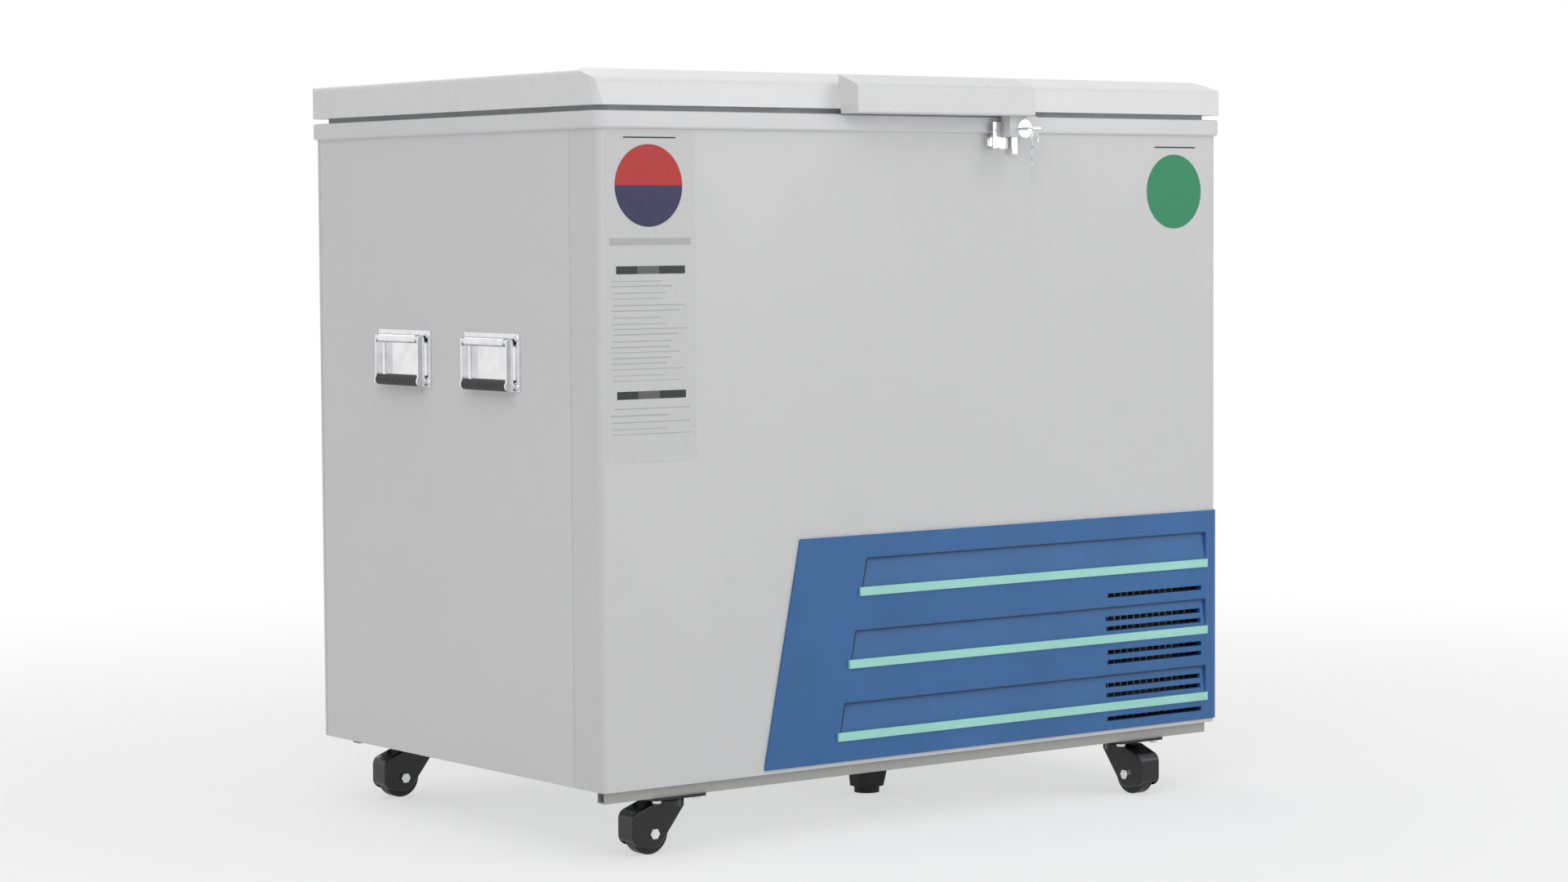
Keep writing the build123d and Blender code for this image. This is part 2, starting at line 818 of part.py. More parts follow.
with BuildPart() as compressor:
    with BuildSketch(Plane.XZ.offset(-compressor_y)):
        with BuildLine():
            profile = FilletPolyline(
                (compressor_x, foot_plate_z + foot_plate),
                (compressor_x + shell_radius - 14, foot_plate_z + foot_plate),
                (compressor_x + shell_radius, foot_plate_z + foot_plate + shell_dome),
                (compressor_x + shell_radius, foot_plate_z + shell_height - shell_dome),
                (compressor_x + shell_radius - 16, foot_plate_z + shell_height),
                (compressor_x, foot_plate_z + shell_height),
                radius=11,
            )
            Line(profile @ 1, profile @ 0)
        make_face()
    revolve(axis=Axis((compressor_x, compressor_y, 0), (0, 0, 1)))
    with BuildSketch(Plane.XY.offset(foot_plate_z + shell_height * 0.6)):
        with Locations((compressor_x, compressor_y)):
            Circle(shell_radius + 2.5)
    extrude(amount=4)
    with BuildSketch(Plane.XY.offset(foot_plate_z)):
        with Locations((compressor_x, compressor_y)):
            RectangleRounded(mount_spacing_x + 24, mount_spacing_y + 24, 12)
            with GridLocations(mount_spacing_x, mount_spacing_y, 2, 2):
                Circle(mount_radius - 3 + slip_gap, mode=Mode.SUBTRACT)
    extrude(amount=foot_plate)
    with BuildSketch(facing_front(compressor_y - shell_radius + 12)):
        with Locations((compressor_x + 10, foot_plate_z + shell_height / 2)):
            RectangleRounded(46, 52, 5)
    extrude(amount=26)
write(compressor, "compressor")

with BuildPart() as compressor_mounts:
    with BuildSketch(Plane.XY.offset(foam_bottom_z)):
        with Locations((compressor_x, compressor_y)):
            with GridLocations(mount_spacing_x, mount_spacing_y, 2, 2):
                Circle(mount_radius)
    extrude(amount=mount_height)
    with BuildSketch(Plane.XY.offset(foot_plate_z)):
        with Locations((compressor_x, compressor_y)):
            with GridLocations(mount_spacing_x, mount_spacing_y, 2, 2):
                Circle(mount_radius - 3)
    extrude(amount=foot_plate + 4)
write(compressor_mounts, "compressor_mounts")

# Condenser: fins on straight tubes between two end plates

condenser_low_x = bay_x + 22.0
condenser_high_x = half_width - 14.0
condenser_front_y = front_y + 24.0
condenser_depth = 44.0
condenser_height = 214.0
condenser_plate = 2.0
fin_pitch = 11.0
fin_sheet = 0.8
fin_count = 18

with BuildPart() as condenser:
    with BuildSketch(Plane.XZ.offset(-(condenser_front_y + condenser_depth))):
        for edge_x in (condenser_low_x, condenser_high_x - condenser_plate):
            span_rectangle(
                edge_x, edge_x + condenser_plate, foam_bottom_z, foam_bottom_z + condenser_height + 6
            )
        middle_x = (condenser_low_x + condenser_high_x) / 2
        with Locations((middle_x, foam_bottom_z + 12 + condenser_height / 2 - 8)):
            with GridLocations(fin_pitch, 1, fin_count, 1):
                Rectangle(fin_sheet, condenser_height - 16)
    extrude(amount=condenser_depth)
    with BuildSketch(facing_right(condenser_low_x)):
        with Locations((condenser_front_y + condenser_depth / 2, foam_bottom_z + condenser_height / 2)):
            with GridLocations(22, 36, 2, 5):
                Circle(4)
    extrude(amount=condenser_high_x - condenser_low_x)
write(condenser, "condenser")

# Fan: shroud with its spider and motor in one, and the rotor on the motor's shaft

fan_x = (condenser_low_x + condenser_high_x) / 2
fan_z = foam_bottom_z + 112.0
fan_radius = 78.0
fan_tip_gap = 7.0
shroud_depth = 30.0
shroud_front_y = condenser_front_y + condenser_depth + lining_gap
shroud_sheet = 2.0
motor_radius = 26.0
motor_length = 42.0
shaft_radius = 3.0
hub_radius = 20.0
hub_length = 16.0
blade_count = 5
rotor_front_y = shroud_front_y + 6.0
spider_y = shroud_front_y + shroud_depth

with BuildPart() as fan_shroud:
    with BuildSketch(facing_front(shroud_front_y + shroud_sheet)):
        span_rectangle(
            condenser_low_x, condenser_high_x, foam_bottom_z, foam_bottom_z + condenser_height + 6
        )
        with Locations((fan_x, fan_z)):
            Circle(fan_radius, mode=Mode.SUBTRACT)
    extrude(amount=shroud_sheet)
    with BuildSketch(facing_front(spider_y)):
        with Locations((fan_x, fan_z)):
            Circle(fan_radius + shroud_sheet)
            Circle(fan_radius, mode=Mode.SUBTRACT)
    extrude(amount=shroud_depth)
    with BuildSketch(facing_front(spider_y)):
        with Locations((fan_x, fan_z)):
            Rectangle(2 * fan_radius + 1, 7)
            Rectangle(7, 2 * fan_radius + 1)
            Circle(motor_radius)
    extrude(amount=shroud_sheet)
    with BuildSketch(facing_front(spider_y + motor_length)):
        with Locations((fan_x, fan_z)):
            Circle(motor_radius)
    extrude(amount=motor_length)
    fillet(fan_shroud.edges().filter_by(GeomType.CIRCLE).group_by(Axis.Y)[-1], 5)
    with BuildSketch(facing_front(spider_y)):
        with Locations((fan_x, fan_z)):
            Circle(shaft_radius)
    extrude(amount=spider_y - rotor_front_y - 1)
write(fan_shroud, "fan_shroud")

with BuildPart() as fan_rotor:
    with BuildSketch(facing_front(rotor_front_y + hub_length)):
        with Locations((fan_x, fan_z)):
            Circle(hub_radius)
    extrude(amount=hub_length)
    fillet(fan_rotor.faces().sort_by(Axis.Y)[0].edges(), 3)
    for blade in range(blade_count):
        angle = 360 / blade_count * blade
        root = Plane(origin=(fan_x, rotor_front_y + hub_length / 2, fan_z), x_dir=(0, 1, 0), z_dir=(1, 0, 0))
        with BuildSketch(root.rotated((0, -angle, 0)).offset(hub_radius - 4)):
            with Locations((0, 0)):
                Rectangle(2, 24, rotation=-40)
        with BuildSketch(root.rotated((0, -angle, 0)).offset(fan_radius - fan_tip_gap)):
            with Locations((0, 6)):
                Rectangle(1.6, 46, rotation=-22)
        loft()
    with BuildSketch(facing_front(rotor_front_y + hub_length)):
        with Locations((fan_x, fan_z)):
            Circle(shaft_radius + running_fit)
    extrude(amount=hub_length, mode=Mode.SUBTRACT)
write(fan_rotor, "fan_rotor")

# Control box on the bay wall

control_setback = 25.0
control_width = 80.0
control_height = 120.0
control_depth = 48.0
control_rise = 120.0

with BuildPart() as control_box:
    with BuildSketch(facing_right(bay_x + sheet)):
        control_high_y = back_y - control_setback
        control_low_z = foam_bottom_z + control_rise
        rounded_span(
            control_high_y - control_width, control_high_y, control_low_z, control_low_z + control_height, 4
        )
    extrude(amount=control_depth)
    fillet(control_box.faces().sort_by(Axis.X)[-1].edges(), 3)
write(control_box, "control_box")

# Rails under the front and the back: a square tube each, with box pads welded on for the castors

castor_front_y = front_y + castor_inset
castor_rear_y = back_y - castor_inset
pad_length = castor_plate + 2 * castor_pad_margin
pad_depth = castor_inset + castor_plate / 2 - rail_setback - rail_width


def box_section(low_y, high_y):
    """A hollow rectangle that fills the height under the cabinet, in the current sketch."""
    span_rectangle(low_y, high_y, castor_height, hem_z)
    span_rectangle(
        low_y + rail_wall, high_y - rail_wall, castor_height + rail_wall, hem_z - rail_wall, mode=Mode.SUBTRACT
    )


def rail(low_x, high_x, low_y, pad_low_y, pivot_y):
    """One tube with its two pads, and the holes for the castors' bolts in the lower walls."""
    with BuildPart() as section:
        with BuildSketch(facing_right(low_x)):
            box_section(low_y, low_y + rail_width)
        extrude(amount=high_x - low_x)
        for pivot_x in (castor_left_x, castor_right_x):
            with BuildSketch(facing_right(pivot_x - pad_length / 2)):
                box_section(pad_low_y, pad_low_y + pad_depth)
            extrude(amount=pad_length)
        with BuildSketch(Plane.XY.offset(castor_height)):
            with Locations((castor_left_x, pivot_y), (castor_right_x, pivot_y)):
                with GridLocations(castor_bolt_spacing, castor_bolt_spacing, 2, 2):
                    Circle(castor_bolt_radius + hole_clearance)
        extrude(amount=rail_wall, mode=Mode.SUBTRACT)
    return section.part


with BuildPart() as base_rails:
    tube_y = front_y + rail_setback
    add(rail(rail_left_gap - half_width, half_width - rail_right_gap, tube_y, tube_y + rail_width, castor_front_y))
    tube_y = back_y - rail_setback - rail_width
    rear_x = half_width - rail_rear_gap
    add(rail(-rear_x, rear_x, tube_y, tube_y - pad_depth, castor_rear_y))
write(base_rails, "base_rails")

# Castors: plates and bolts fixed to the rails, then swivelling hoods, axles and wheels

castors = (
    ("front_left", castor_left_x, castor_front_y, 180),
    ("front_right", castor_right_x, castor_front_y, 270),
    ("rear_left", castor_left_x, castor_rear_y, 180),
    ("rear_right", castor_right_x, castor_rear_y, 90),
)

with BuildPart() as castor_plates:
    with BuildSketch(Plane.XY.offset(plate_z)):
        with Locations(*[(x, y) for _, x, y, _ in castors]):
            RectangleRounded(castor_plate, castor_plate, 5)
            with GridLocations(castor_bolt_spacing, castor_bolt_spacing, 2, 2):
                Circle(castor_bolt_radius + hole_clearance, mode=Mode.SUBTRACT)
    extrude(amount=castor_plate_thickness)
    with BuildSketch(Plane.XY.offset(race_z)):
        with Locations(*[(x, y) for _, x, y, _ in castors]):
            Circle(castor_race_radius)
    extrude(amount=castor_race, taper=-8)
    with BuildSketch(Plane.XY.offset(race_z)):
        with Locations(*[(x, y) for _, x, y, _ in castors]):
            Circle(stem_radius + running_fit)
    extrude(amount=castor_race + castor_plate_thickness, mode=Mode.SUBTRACT)
write(castor_plates, "castor_plates")

with BuildPart() as castor_bolts:
    bolt_head = 3.8
    with BuildSketch(Plane.XY.offset(plate_z - bolt_head)):
        with Locations(*[(x, y) for _, x, y, _ in castors]):
            with GridLocations(castor_bolt_spacing, castor_bolt_spacing, 2, 2):
                RegularPolygon(5.6, 6)
    extrude(amount=bolt_head)
    with BuildSketch(Plane.XY.offset(plate_z)):
        with Locations(*[(x, y) for _, x, y, _ in castors]):
            with GridLocations(castor_bolt_spacing, castor_bolt_spacing, 2, 2):
                Circle(castor_bolt_radius)
    extrude(amount=castor_plate_thickness + 2 * rail_wall)
write(castor_bolts, "castor_bolts")


def castor_side(x, y, heading):
    """The upright plane through a castor's pivot: local x along its trail, local y up."""
    trail = Vector(cos(radians(heading)), sin(radians(heading)), 0)
    return Plane(origin=(x, y, 0), x_dir=trail, z_dir=trail.cross(Vector(0, 0, 1)))


def castor_fork(x, y, heading):
    """A hooded fork: a round head, a hood over the wheel, two legs and the swivel stem."""
    side = castor_side(x, y, heading)
    with BuildPart() as fork:
        with BuildSketch(side):
            with Locations((0, fork_top_z - fork_head_height / 2)):
                Rectangle(2 * fork_head_radius - 4, fork_head_height)
            reach = hood_radius - hood_shoulder
            with Locations((castor_trail + reach, axle_z + reach), (castor_trail + reach, axle_z - hood_drop)):
                Circle(hood_shoulder)
            with Locations((castor_trail, axle_z)):
                Circle(leg_radius)
            make_hull()
        extrude(amount=fork_width / 2, both=True)
        faces = fork.faces().filter_by(lambda face: abs(face.normal_at().dot(side.z_dir)) > 0.99)
        fillet(faces.edges(), 2.5)
        with BuildSketch(Plane.XY.offset(fork_top_z - fork_head_height)):
            with Locations((x, y)):
                Circle(fork_head_radius)
        extrude(amount=fork_head_height)
        with BuildSketch(side):
            with Locations((castor_trail, axle_z)):
                Circle(hood_well_radius)
            with Locations((castor_trail, axle_z - hood_well_radius)):
                Rectangle(2 * hood_well_radius, 2 * hood_well_radius)
        extrude(amount=fork_gap / 2, both=True, mode=Mode.SUBTRACT)
        with BuildSketch(side):
            with Locations((castor_trail, axle_z)):
                Circle(axle_radius + running_fit)
        extrude(amount=fork_width, both=True, mode=Mode.SUBTRACT)
        with BuildSketch(Plane.XY.offset(fork_top_z)):
            with Locations((x, y)):
                Circle(stem_radius)
        extrude(amount=castor_height - slip_gap - fork_top_z)
    return fork.part


def castor_axle(x, y, heading):
    """A bolt through both legs with a hexagon at each end."""
    side = castor_side(x, y, heading)
    with BuildPart() as axle:
        with BuildSketch(side):
            with Locations((castor_trail, axle_z)):
                Circle(axle_radius)
        extrude(amount=fork_width / 2 + 4, both=True)
        for end in (side.offset(fork_width / 2), side.offset(-fork_width / 2 - 3.5)):
            with BuildSketch(end):
                with Locations((castor_trail, axle_z)):
                    RegularPolygon(6.5, 6)
            extrude(amount=3.5)
    return axle.part


def castor_wheel(x, y, heading):
    """A wheel with a rounded tread, a dished web and a hub bored for its axle."""
    side = castor_side(x, y, heading)
    center = side.from_local_coords((castor_trail, axle_z, 0))
    section = Plane(origin=center, x_dir=side.z_dir, z_dir=side.x_dir)
    with BuildPart() as wheel:
        with BuildSketch(section) as profile:
            span_rectangle(-wheel_width / 2, wheel_width / 2, 17, wheel_radius)
            fillet(profile.vertices().group_by(Axis.Y)[-1], 3)
            span_rectangle(-4, 4, 8, 18)
            span_rectangle(-hub_width / 2, hub_width / 2, axle_radius + running_fit, 9)
        revolve(axis=Axis(center, side.z_dir))
    return wheel.part


for name, x, y, heading in castors:
    for kind, build in (("fork", castor_fork), ("axle", castor_axle), ("wheel", castor_wheel)):
        with BuildPart() as castor_piece:
            add(build(x, y, heading))
        write(castor_piece, f"castor_{kind}_{name}")

# Support foot under the middle of the base

foot_center = (foot_x, front_y + foot_y)

with BuildPart() as support_foot:
    with BuildSketch(Plane.XY.offset(tray_z - 4)):
        with Locations(foot_center):
            RectangleRounded(76, 52, 6)
    extrude(amount=4)
    with BuildSketch(Plane.XY.offset(tray_z - 4)):
        with Locations(foot_center):
            RectangleRounded(56, 44, 8)
    with BuildSketch(Plane.XY.offset(foot_lift + 8)):
        with Locations((foot_x - 6, front_y + foot_y)):
            RectangleRounded(38, 34, 10)
    loft()
    with BuildSketch(Plane.XY.offset(foot_lift)):
        with Locations((foot_x - 6, front_y + foot_y)):
            Circle(16)
    extrude(amount=8)
write(support_foot, "support_foot")

# Lifting handles: channel plates, swinging frames and grips, then the rivets and rear screws

bail_pivot_z = hem_z + bail_pivot_height
grip_z = bail_pivot_z - bail_drop


def bail_plate(side, y):
    """A plate with a pressed channel that holds the frame's pivot bar against the cabinet."""
    wall = side * half_width
    axis_x = side * (half_width + bail_stand_off)
    channel = bail_bar_radius + running_fit
    shell = channel + bail_plate_thickness
    with BuildPart() as plate:
        with BuildSketch(facing_front(y + bail_plate_width / 2)):
            limits = sorted((wall, wall + side * bail_plate_thickness))
            span_rectangle(*limits, bail_pivot_z - bail_plate_below, bail_pivot_z + bail_plate_above)
        extrude(amount=bail_plate_width)
        with BuildSketch(facing_front(y + bail_channel_length / 2)):
            span_rectangle(*sorted((wall, axis_x)), bail_pivot_z - shell, bail_pivot_z + shell)
            with Locations((axis_x, bail_pivot_z)):
                Circle(shell)
        extrude(amount=bail_channel_length)
        with BuildSketch(facing_front(y + bail_channel_length / 2)):
            span_rectangle(*sorted((wall, axis_x)), bail_pivot_z - channel, bail_pivot_z + channel)
            with Locations((axis_x, bail_pivot_z)):
                Circle(channel)
        extrude(amount=bail_channel_length, mode=Mode.SUBTRACT)
        with BuildSketch(facing_right(wall - 2 * bail_plate_thickness)):
            with Locations((y, hem_z + bail_rivet_z)):
                with GridLocations(bail_rivet_spacing_y, bail_rivet_spacing_z, 2, 2):
                    Circle(rivet_radius + hole_clearance)
        extrude(amount=4 * bail_plate_thickness, mode=Mode.SUBTRACT)
    return plate.part


def bail_frame(side, y):
    """Pivot bar, two flat arms and the rod that carries the grip."""
    axis_x = side * (half_width + bail_stand_off)
    with BuildPart() as frame:
        with BuildSketch(facing_front(y + bail_width / 2)):
            with Locations((axis_x, bail_pivot_z)):
                Circle(bail_bar_radius)
            with Locations((axis_x, grip_z)):
                Circle(rod_radius)
        extrude(amount=bail_width)
        for arm_y in (y + bail_width / 2, y - bail_width / 2 + bail_arm):
            with BuildSketch(facing_front(arm_y)):
                with Locations((axis_x, (bail_pivot_z + grip_z) / 2)):
                    SlotCenterToCenter(bail_drop, bail_arm_width, rotation=90)
                with Locations((axis_x, grip_z)):
                    Circle(grip_radius)
            extrude(amount=bail_arm)
    return frame.part


def bail_grip(side, y):
    """A ribbed sleeve between the arms."""
    axis_x = side * (half_width + bail_stand_off)
    length = bail_width - 2 * bail_arm - 2 * slip_gap
    with BuildPart() as grip:
        with BuildSketch(facing_front(y + length / 2)):
            with Locations((axis_x, grip_z)):
                Circle(grip_radius)
                Circle(rod_radius + running_fit, mode=Mode.SUBTRACT)
        extrude(amount=length)
    return grip.part


bails = [
    (f"{word}_{place}", side, front_y + handle_y)
    for word, side in (("left", -1), ("right", 1))
    for place, handle_y in zip(("front", "rear"), bail_positions)
]

for name, side, y in bails:
    for kind, build in (("bail", bail_frame), ("grip", bail_grip)):
        with BuildPart() as bail_piece:
            add(build(side, y))
        write(bail_piece, f"{kind}_{name}")

with BuildPart() as handle_plates:
    for _, side, y in bails:
        add(bail_plate(side, y))
write(handle_plates, "handle_plates")

with BuildPart() as cabinet_fixings:
    add(pan_screws(rear_screw_points, back_y + hinge_foot, hinge_foot + sheet))
    add(pan_screws(cover_screw_points, back_y + sheet, 2 * sheet))
    for _, side, y in bails:
        wall = side * half_width
        with BuildSketch(facing_right(wall + side * bail_plate_thickness)):
            with Locations((y, hem_z + bail_rivet_z)):
                with GridLocations(bail_rivet_spacing_y, bail_rivet_spacing_z, 2, 2):
                    Circle(2 * rivet_radius)
        extrude(amount=side * 1.4, taper=30)
        with BuildSketch(facing_right(wall + side * bail_plate_thickness)):
            with Locations((y, hem_z + bail_rivet_z)):
                with GridLocations(bail_rivet_spacing_y, bail_rivet_spacing_z, 2, 2):
                    Circle(rivet_radius)
        extrude(amount=-side * (bail_plate_thickness + sheet))
write(cabinet_fixings, "cabinet_fixings")

# Lid: outer shell, foam, inner panel with its plug, and gasket


def lid_block(inset, low_z):
    """The lid's outer form, drawn in by an even inset, from a level up to the crest."""
    front = lid_front_y + inset
    back = lid_back_y - inset
    side = lid_x - inset
    crest = crest_z - inset
    edge = lid_edge_z - inset
    with BuildPart() as block:
        with BuildSketch(facing_right(-side)):
            with BuildLine():
                outline = FilletPolyline(
                    (front + lid_lean * (low_z - lid_bottom_z) / lid_skirt, low_z),
                    (front + lid_lean * (edge - lid_bottom_z) / lid_skirt, edge),
                    (front + lid_lean + lid_bevel, crest),
                    (back, crest),
                    (back, low_z),
                    radius=[lid_front_round, lid_bevel_round, lid_back_round],
                )
                Line(outline @ 1, outline @ 0)
            make_face()
        extrude(amount=2 * side)
        with BuildSketch(facing_front(back)):
            with BuildLine():
                outline = FilletPolyline(
                    (-side, low_z),
                    (-side, crest - lid_side_drop),
                    (lid_side_round - side, crest),
                    (side - lid_side_round, crest),
                    (side, crest - lid_side_drop),
                    (side, low_z),
                    radius=lid_round,
                )
                Line(outline @ 1, outline @ 0)
            make_face()
        extrude(amount=2 * (back - front), mode=Mode.INTERSECT)
        with BuildSketch(Plane.XY.offset(low_z)):
            rounded_span(-side, side, front, back, lid_corner_radius - inset)
        extrude(amount=2 * (crest - low_z), mode=Mode.INTERSECT)
    return block.part


plug_x = mouth_x - plug_gap
plug_half_y = mouth_depth / 2 - plug_gap


def plug_form(inset, low_z, high_z):
    """The tapered plug that the inner panel carries into the mouth."""
    with BuildPart() as plug:
        for level, draw_in in ((high_z, 0), (low_z, plug_draft)):
            with BuildSketch(Plane.XY.offset(level)):
                rounded_span(
                    -plug_x + draw_in + inset,
                    plug_x - draw_in - inset,
                    middle_y - plug_half_y + draw_in + inset,
                    middle_y + plug_half_y - draw_in - inset,
                    mouth_radius - inset,
                )
        loft()
    return plug.part


inner_panel_z = lid_bottom_z + lid_sheet
lid_screw_points = [
    (center_x + side * (hinge_plate_width / 2 - 7), lid_bottom_z + 12)
    for center_x in hinge_centers
    for side in (-1, 1)
]

with BuildPart() as lid_shell:
    add(lid_block(0, lid_bottom_z))
    add(lid_block(lid_sheet, lid_bottom_z - 1), mode=Mode.SUBTRACT)
    with BuildSketch(facing_front(lid_back_y)):
        with Locations(*lid_screw_points):
            Circle(screw_radius + hole_clearance)
    extrude(amount=lid_sheet, mode=Mode.SUBTRACT)
write(lid_shell, "lid_shell")

with BuildPart() as lid_inner_panel:
    add(lid_block(lid_sheet, lid_bottom_z))
    with BuildSketch(Plane.XY.offset(inner_panel_z)):
        span_rectangle(-cabinet_width, cabinet_width, -cabinet_depth, cabinet_depth)
    extrude(amount=lid_skirt + lid_crown, mode=Mode.SUBTRACT)
    add(plug_form(0, lid_bottom_z - plug_drop, lid_bottom_z))
    add(plug_form(lid_sheet, lid_bottom_z - plug_drop + lid_sheet, inner_panel_z), mode=Mode.SUBTRACT)
write(lid_inner_panel, "lid_inner_panel")

with BuildPart() as lid_foam:
    add(lid_block(lid_sheet, inner_panel_z))
    add(plug_form(lid_sheet, lid_bottom_z - plug_drop + lid_sheet, inner_panel_z))
write(lid_foam, "lid_foam")

gasket_x = half_width + collar_overhang - gasket_inset
gasket_front_y = front_y - collar_overhang + gasket_inset
gasket_back_y = back_y + collar_overhang - gasket_inset

with BuildPart() as lid_gasket:
    with BuildSketch(Plane.XY.offset(collar_top_z + gasket_compression_gap)):
        rounded_span(-gasket_x, gasket_x, gasket_front_y, gasket_back_y, lid_corner_radius)
        rounded_span(
            gasket_width - gasket_x,
            gasket_x - gasket_width,
            gasket_front_y + gasket_width,
            gasket_back_y - gasket_width,
            lid_corner_radius,
            mode=Mode.SUBTRACT,
        )
    extrude(amount=gasket_gap - gasket_compression_gap)
write(lid_gasket, "lid_gasket")

# Lid handle: a hollow pull across the front of the lid, open from below for the fingers

pull_face_y = lid_front_y - pull_reach
pull_low_z = lid_bottom_z - pull_below
pull_high_z = pull_low_z + pull_height
pull_back_y = lid_front_y + lid_lean

with BuildPart() as lid_handle:
    with BuildSketch(facing_right(-pull_length / 2)):
        with BuildLine():
            outline = FilletPolyline(
                (lid_front_y - lid_lean * pull_below / lid_skirt, pull_low_z),
                (pull_face_y, pull_low_z),
                (pull_face_y + 2, pull_high_z - pull_front_drop),
                (pull_back_y, pull_high_z),
                radius=[2.5, pull_nose_radius],
            )
            Polyline(
                outline @ 1,
                (pull_back_y, lid_edge_z),
                outline @ 0,
            )
        make_face()
    extrude(amount=pull_length)
    with BuildSketch(facing_right(pull_wall - pull_length / 2)):
        with BuildLine():
            Polyline(
                (lid_front_y - pull_wall, pull_low_z - 1),
                (pull_face_y + pull_wall, pull_low_z - 1),
                (pull_face_y + pull_wall + 2, pull_high_z - pull_front_drop - pull_wall),
                (lid_front_y - pull_wall, pull_high_z - 2.4 * pull_wall),
                close=True,
            )
        make_face()
    extrude(amount=pull_length - 2 * pull_wall, mode=Mode.SUBTRACT)
    end_edges = lid_handle.faces().filter_by(Axis.X).group_by(Axis.X)
    fillet(end_edges[0].edges().group_by(Axis.Z)[-1], 2)
write(lid_handle, "lid_handle")

# Lid hinges: bases on the cabinet, arms on the lid, then the pins and screws

ear_inner = hinge_knuckle_width / 2 + hinge_side_gap

with BuildPart() as hinge_bases:
    for center_x in hinge_centers:
        with BuildSketch(facing_front(back_y + hinge_foot)):
            rounded_span(
                center_x - hinge_base_width / 2,
                center_x + hinge_base_width / 2,
                hinge_base_top_z - hinge_base_height,
                hinge_base_top_z,
                5,
            )
            with Locations(*rear_screw_points):
                Circle(screw_radius + hole_clearance, mode=Mode.SUBTRACT)
        extrude(amount=hinge_foot)
        for low_x in (center_x - ear_inner - hinge_ear, center_x + ear_inner):
            with BuildSketch(facing_right(low_x)):
                with Locations((hinge_y, hinge_z)):
                    Circle(hinge_ear_radius)
                with Locations((back_y + hinge_foot + 3, hinge_base_top_z - 34)):
                    Rectangle(6, 50)
                make_hull()
                with Locations((hinge_y, hinge_z)):
                    Circle(hinge_pin_radius + running_fit, mode=Mode.SUBTRACT)
                span_rectangle(
                    back_y - 1, back_y + collar_overhang + 1, top_z - 2, collar_top_z + 10, mode=Mode.SUBTRACT
                )
            extrude(amount=hinge_ear)
write(hinge_bases, "hinge_bases")

with BuildPart() as hinge_arms:
    for center_x in hinge_centers:
        with BuildSketch(facing_right(center_x - hinge_knuckle_width / 2)):
            with Locations((hinge_y, hinge_z)):
                Circle(hinge_knuckle_radius)
            span_rectangle(
                lid_back_y, lid_back_y + hinge_plate_thickness + 3, lid_bottom_z - 2, lid_bottom_z + 8
            )
            make_hull()
            span_rectangle(
                lid_back_y - 1, lid_back_y, lid_bottom_z - 20, lid_bottom_z + 20, mode=Mode.SUBTRACT
            )
            with Locations((hinge_y, hinge_z)):
                Circle(hinge_pin_radius + running_fit, mode=Mode.SUBTRACT)
        extrude(amount=hinge_knuckle_width)
        with BuildSketch(facing_front(lid_back_y + hinge_plate_thickness)):
            rounded_span(
                center_x - hinge_plate_width / 2,
                center_x + hinge_plate_width / 2,
                lid_bottom_z + 2,
                lid_bottom_z + 22,
                4,
            )
            with Locations(*lid_screw_points):
                Circle(screw_radius + hole_clearance, mode=Mode.SUBTRACT)
        extrude(amount=hinge_plate_thickness)
write(hinge_arms, "hinge_arms")

with BuildPart() as hinge_fixings:
    add(pan_screws(lid_screw_points, lid_back_y + hinge_plate_thickness, hinge_plate_thickness + lid_sheet))
    pin_length = 2 * (ear_inner + hinge_ear) + 3
    for center_x in hinge_centers:
        with BuildSketch(facing_right(center_x - pin_length / 2)):
            with Locations((hinge_y, hinge_z)):
                Circle(hinge_pin_radius)
        extrude(amount=pin_length)
        for low_x in (center_x - ear_inner - hinge_ear - 1.5, center_x + ear_inner + hinge_ear):
            with BuildSketch(facing_right(low_x)):
                with Locations((hinge_y, hinge_z)):
                    Circle(hinge_pin_radius + 2)
            extrude(amount=1.5)
write(hinge_fixings, "hinge_fixings")

# Lock: housing under the handle's right end, turning barrel with its cam, key, and keeper

lock_front_y = front_y - lock_front_reach
lock_back_y = front_y - lock_back_reach
lock_low_z = pull_low_z - lock_body_drop

with BuildPart() as lock_housing:
    with BuildSketch(facing_front(lock_back_y)) as plan:
        span_rectangle(lock_x - lock_width / 2, lock_x + lock_width / 2, lock_low_z, pull_low_z)
        fillet(plan.vertices(), 4)
        span_rectangle(
            lock_x - lock_width / 2, lock_x - lock_width / 2 + lock_neck_width, pull_low_z - 8, pull_low_z
        )
    extrude(amount=lock_front_reach - lock_back_reach)
    with BuildSketch(facing_front(lid_front_y - pull_wall - slip_gap)):
        span_rectangle(
            lock_x - lock_width / 2,
            lock_x - lock_width / 2 + lock_neck_width,
            pull_low_z,
            pull_low_z + lock_neck_height,
        )
    extrude(amount=lock_front_reach - lid_overhang - pull_wall - slip_gap)
    with BuildSketch(facing_front(lock_back_y)):
        with Locations((lock_x, lock_z)):
            Circle(barrel_radius + running_fit)
    extrude(amount=lock_front_reach, mode=Mode.SUBTRACT)
write(lock_housing, "lock_housing")

cam_back_y = lock_back_y + slip_gap + cam_thickness

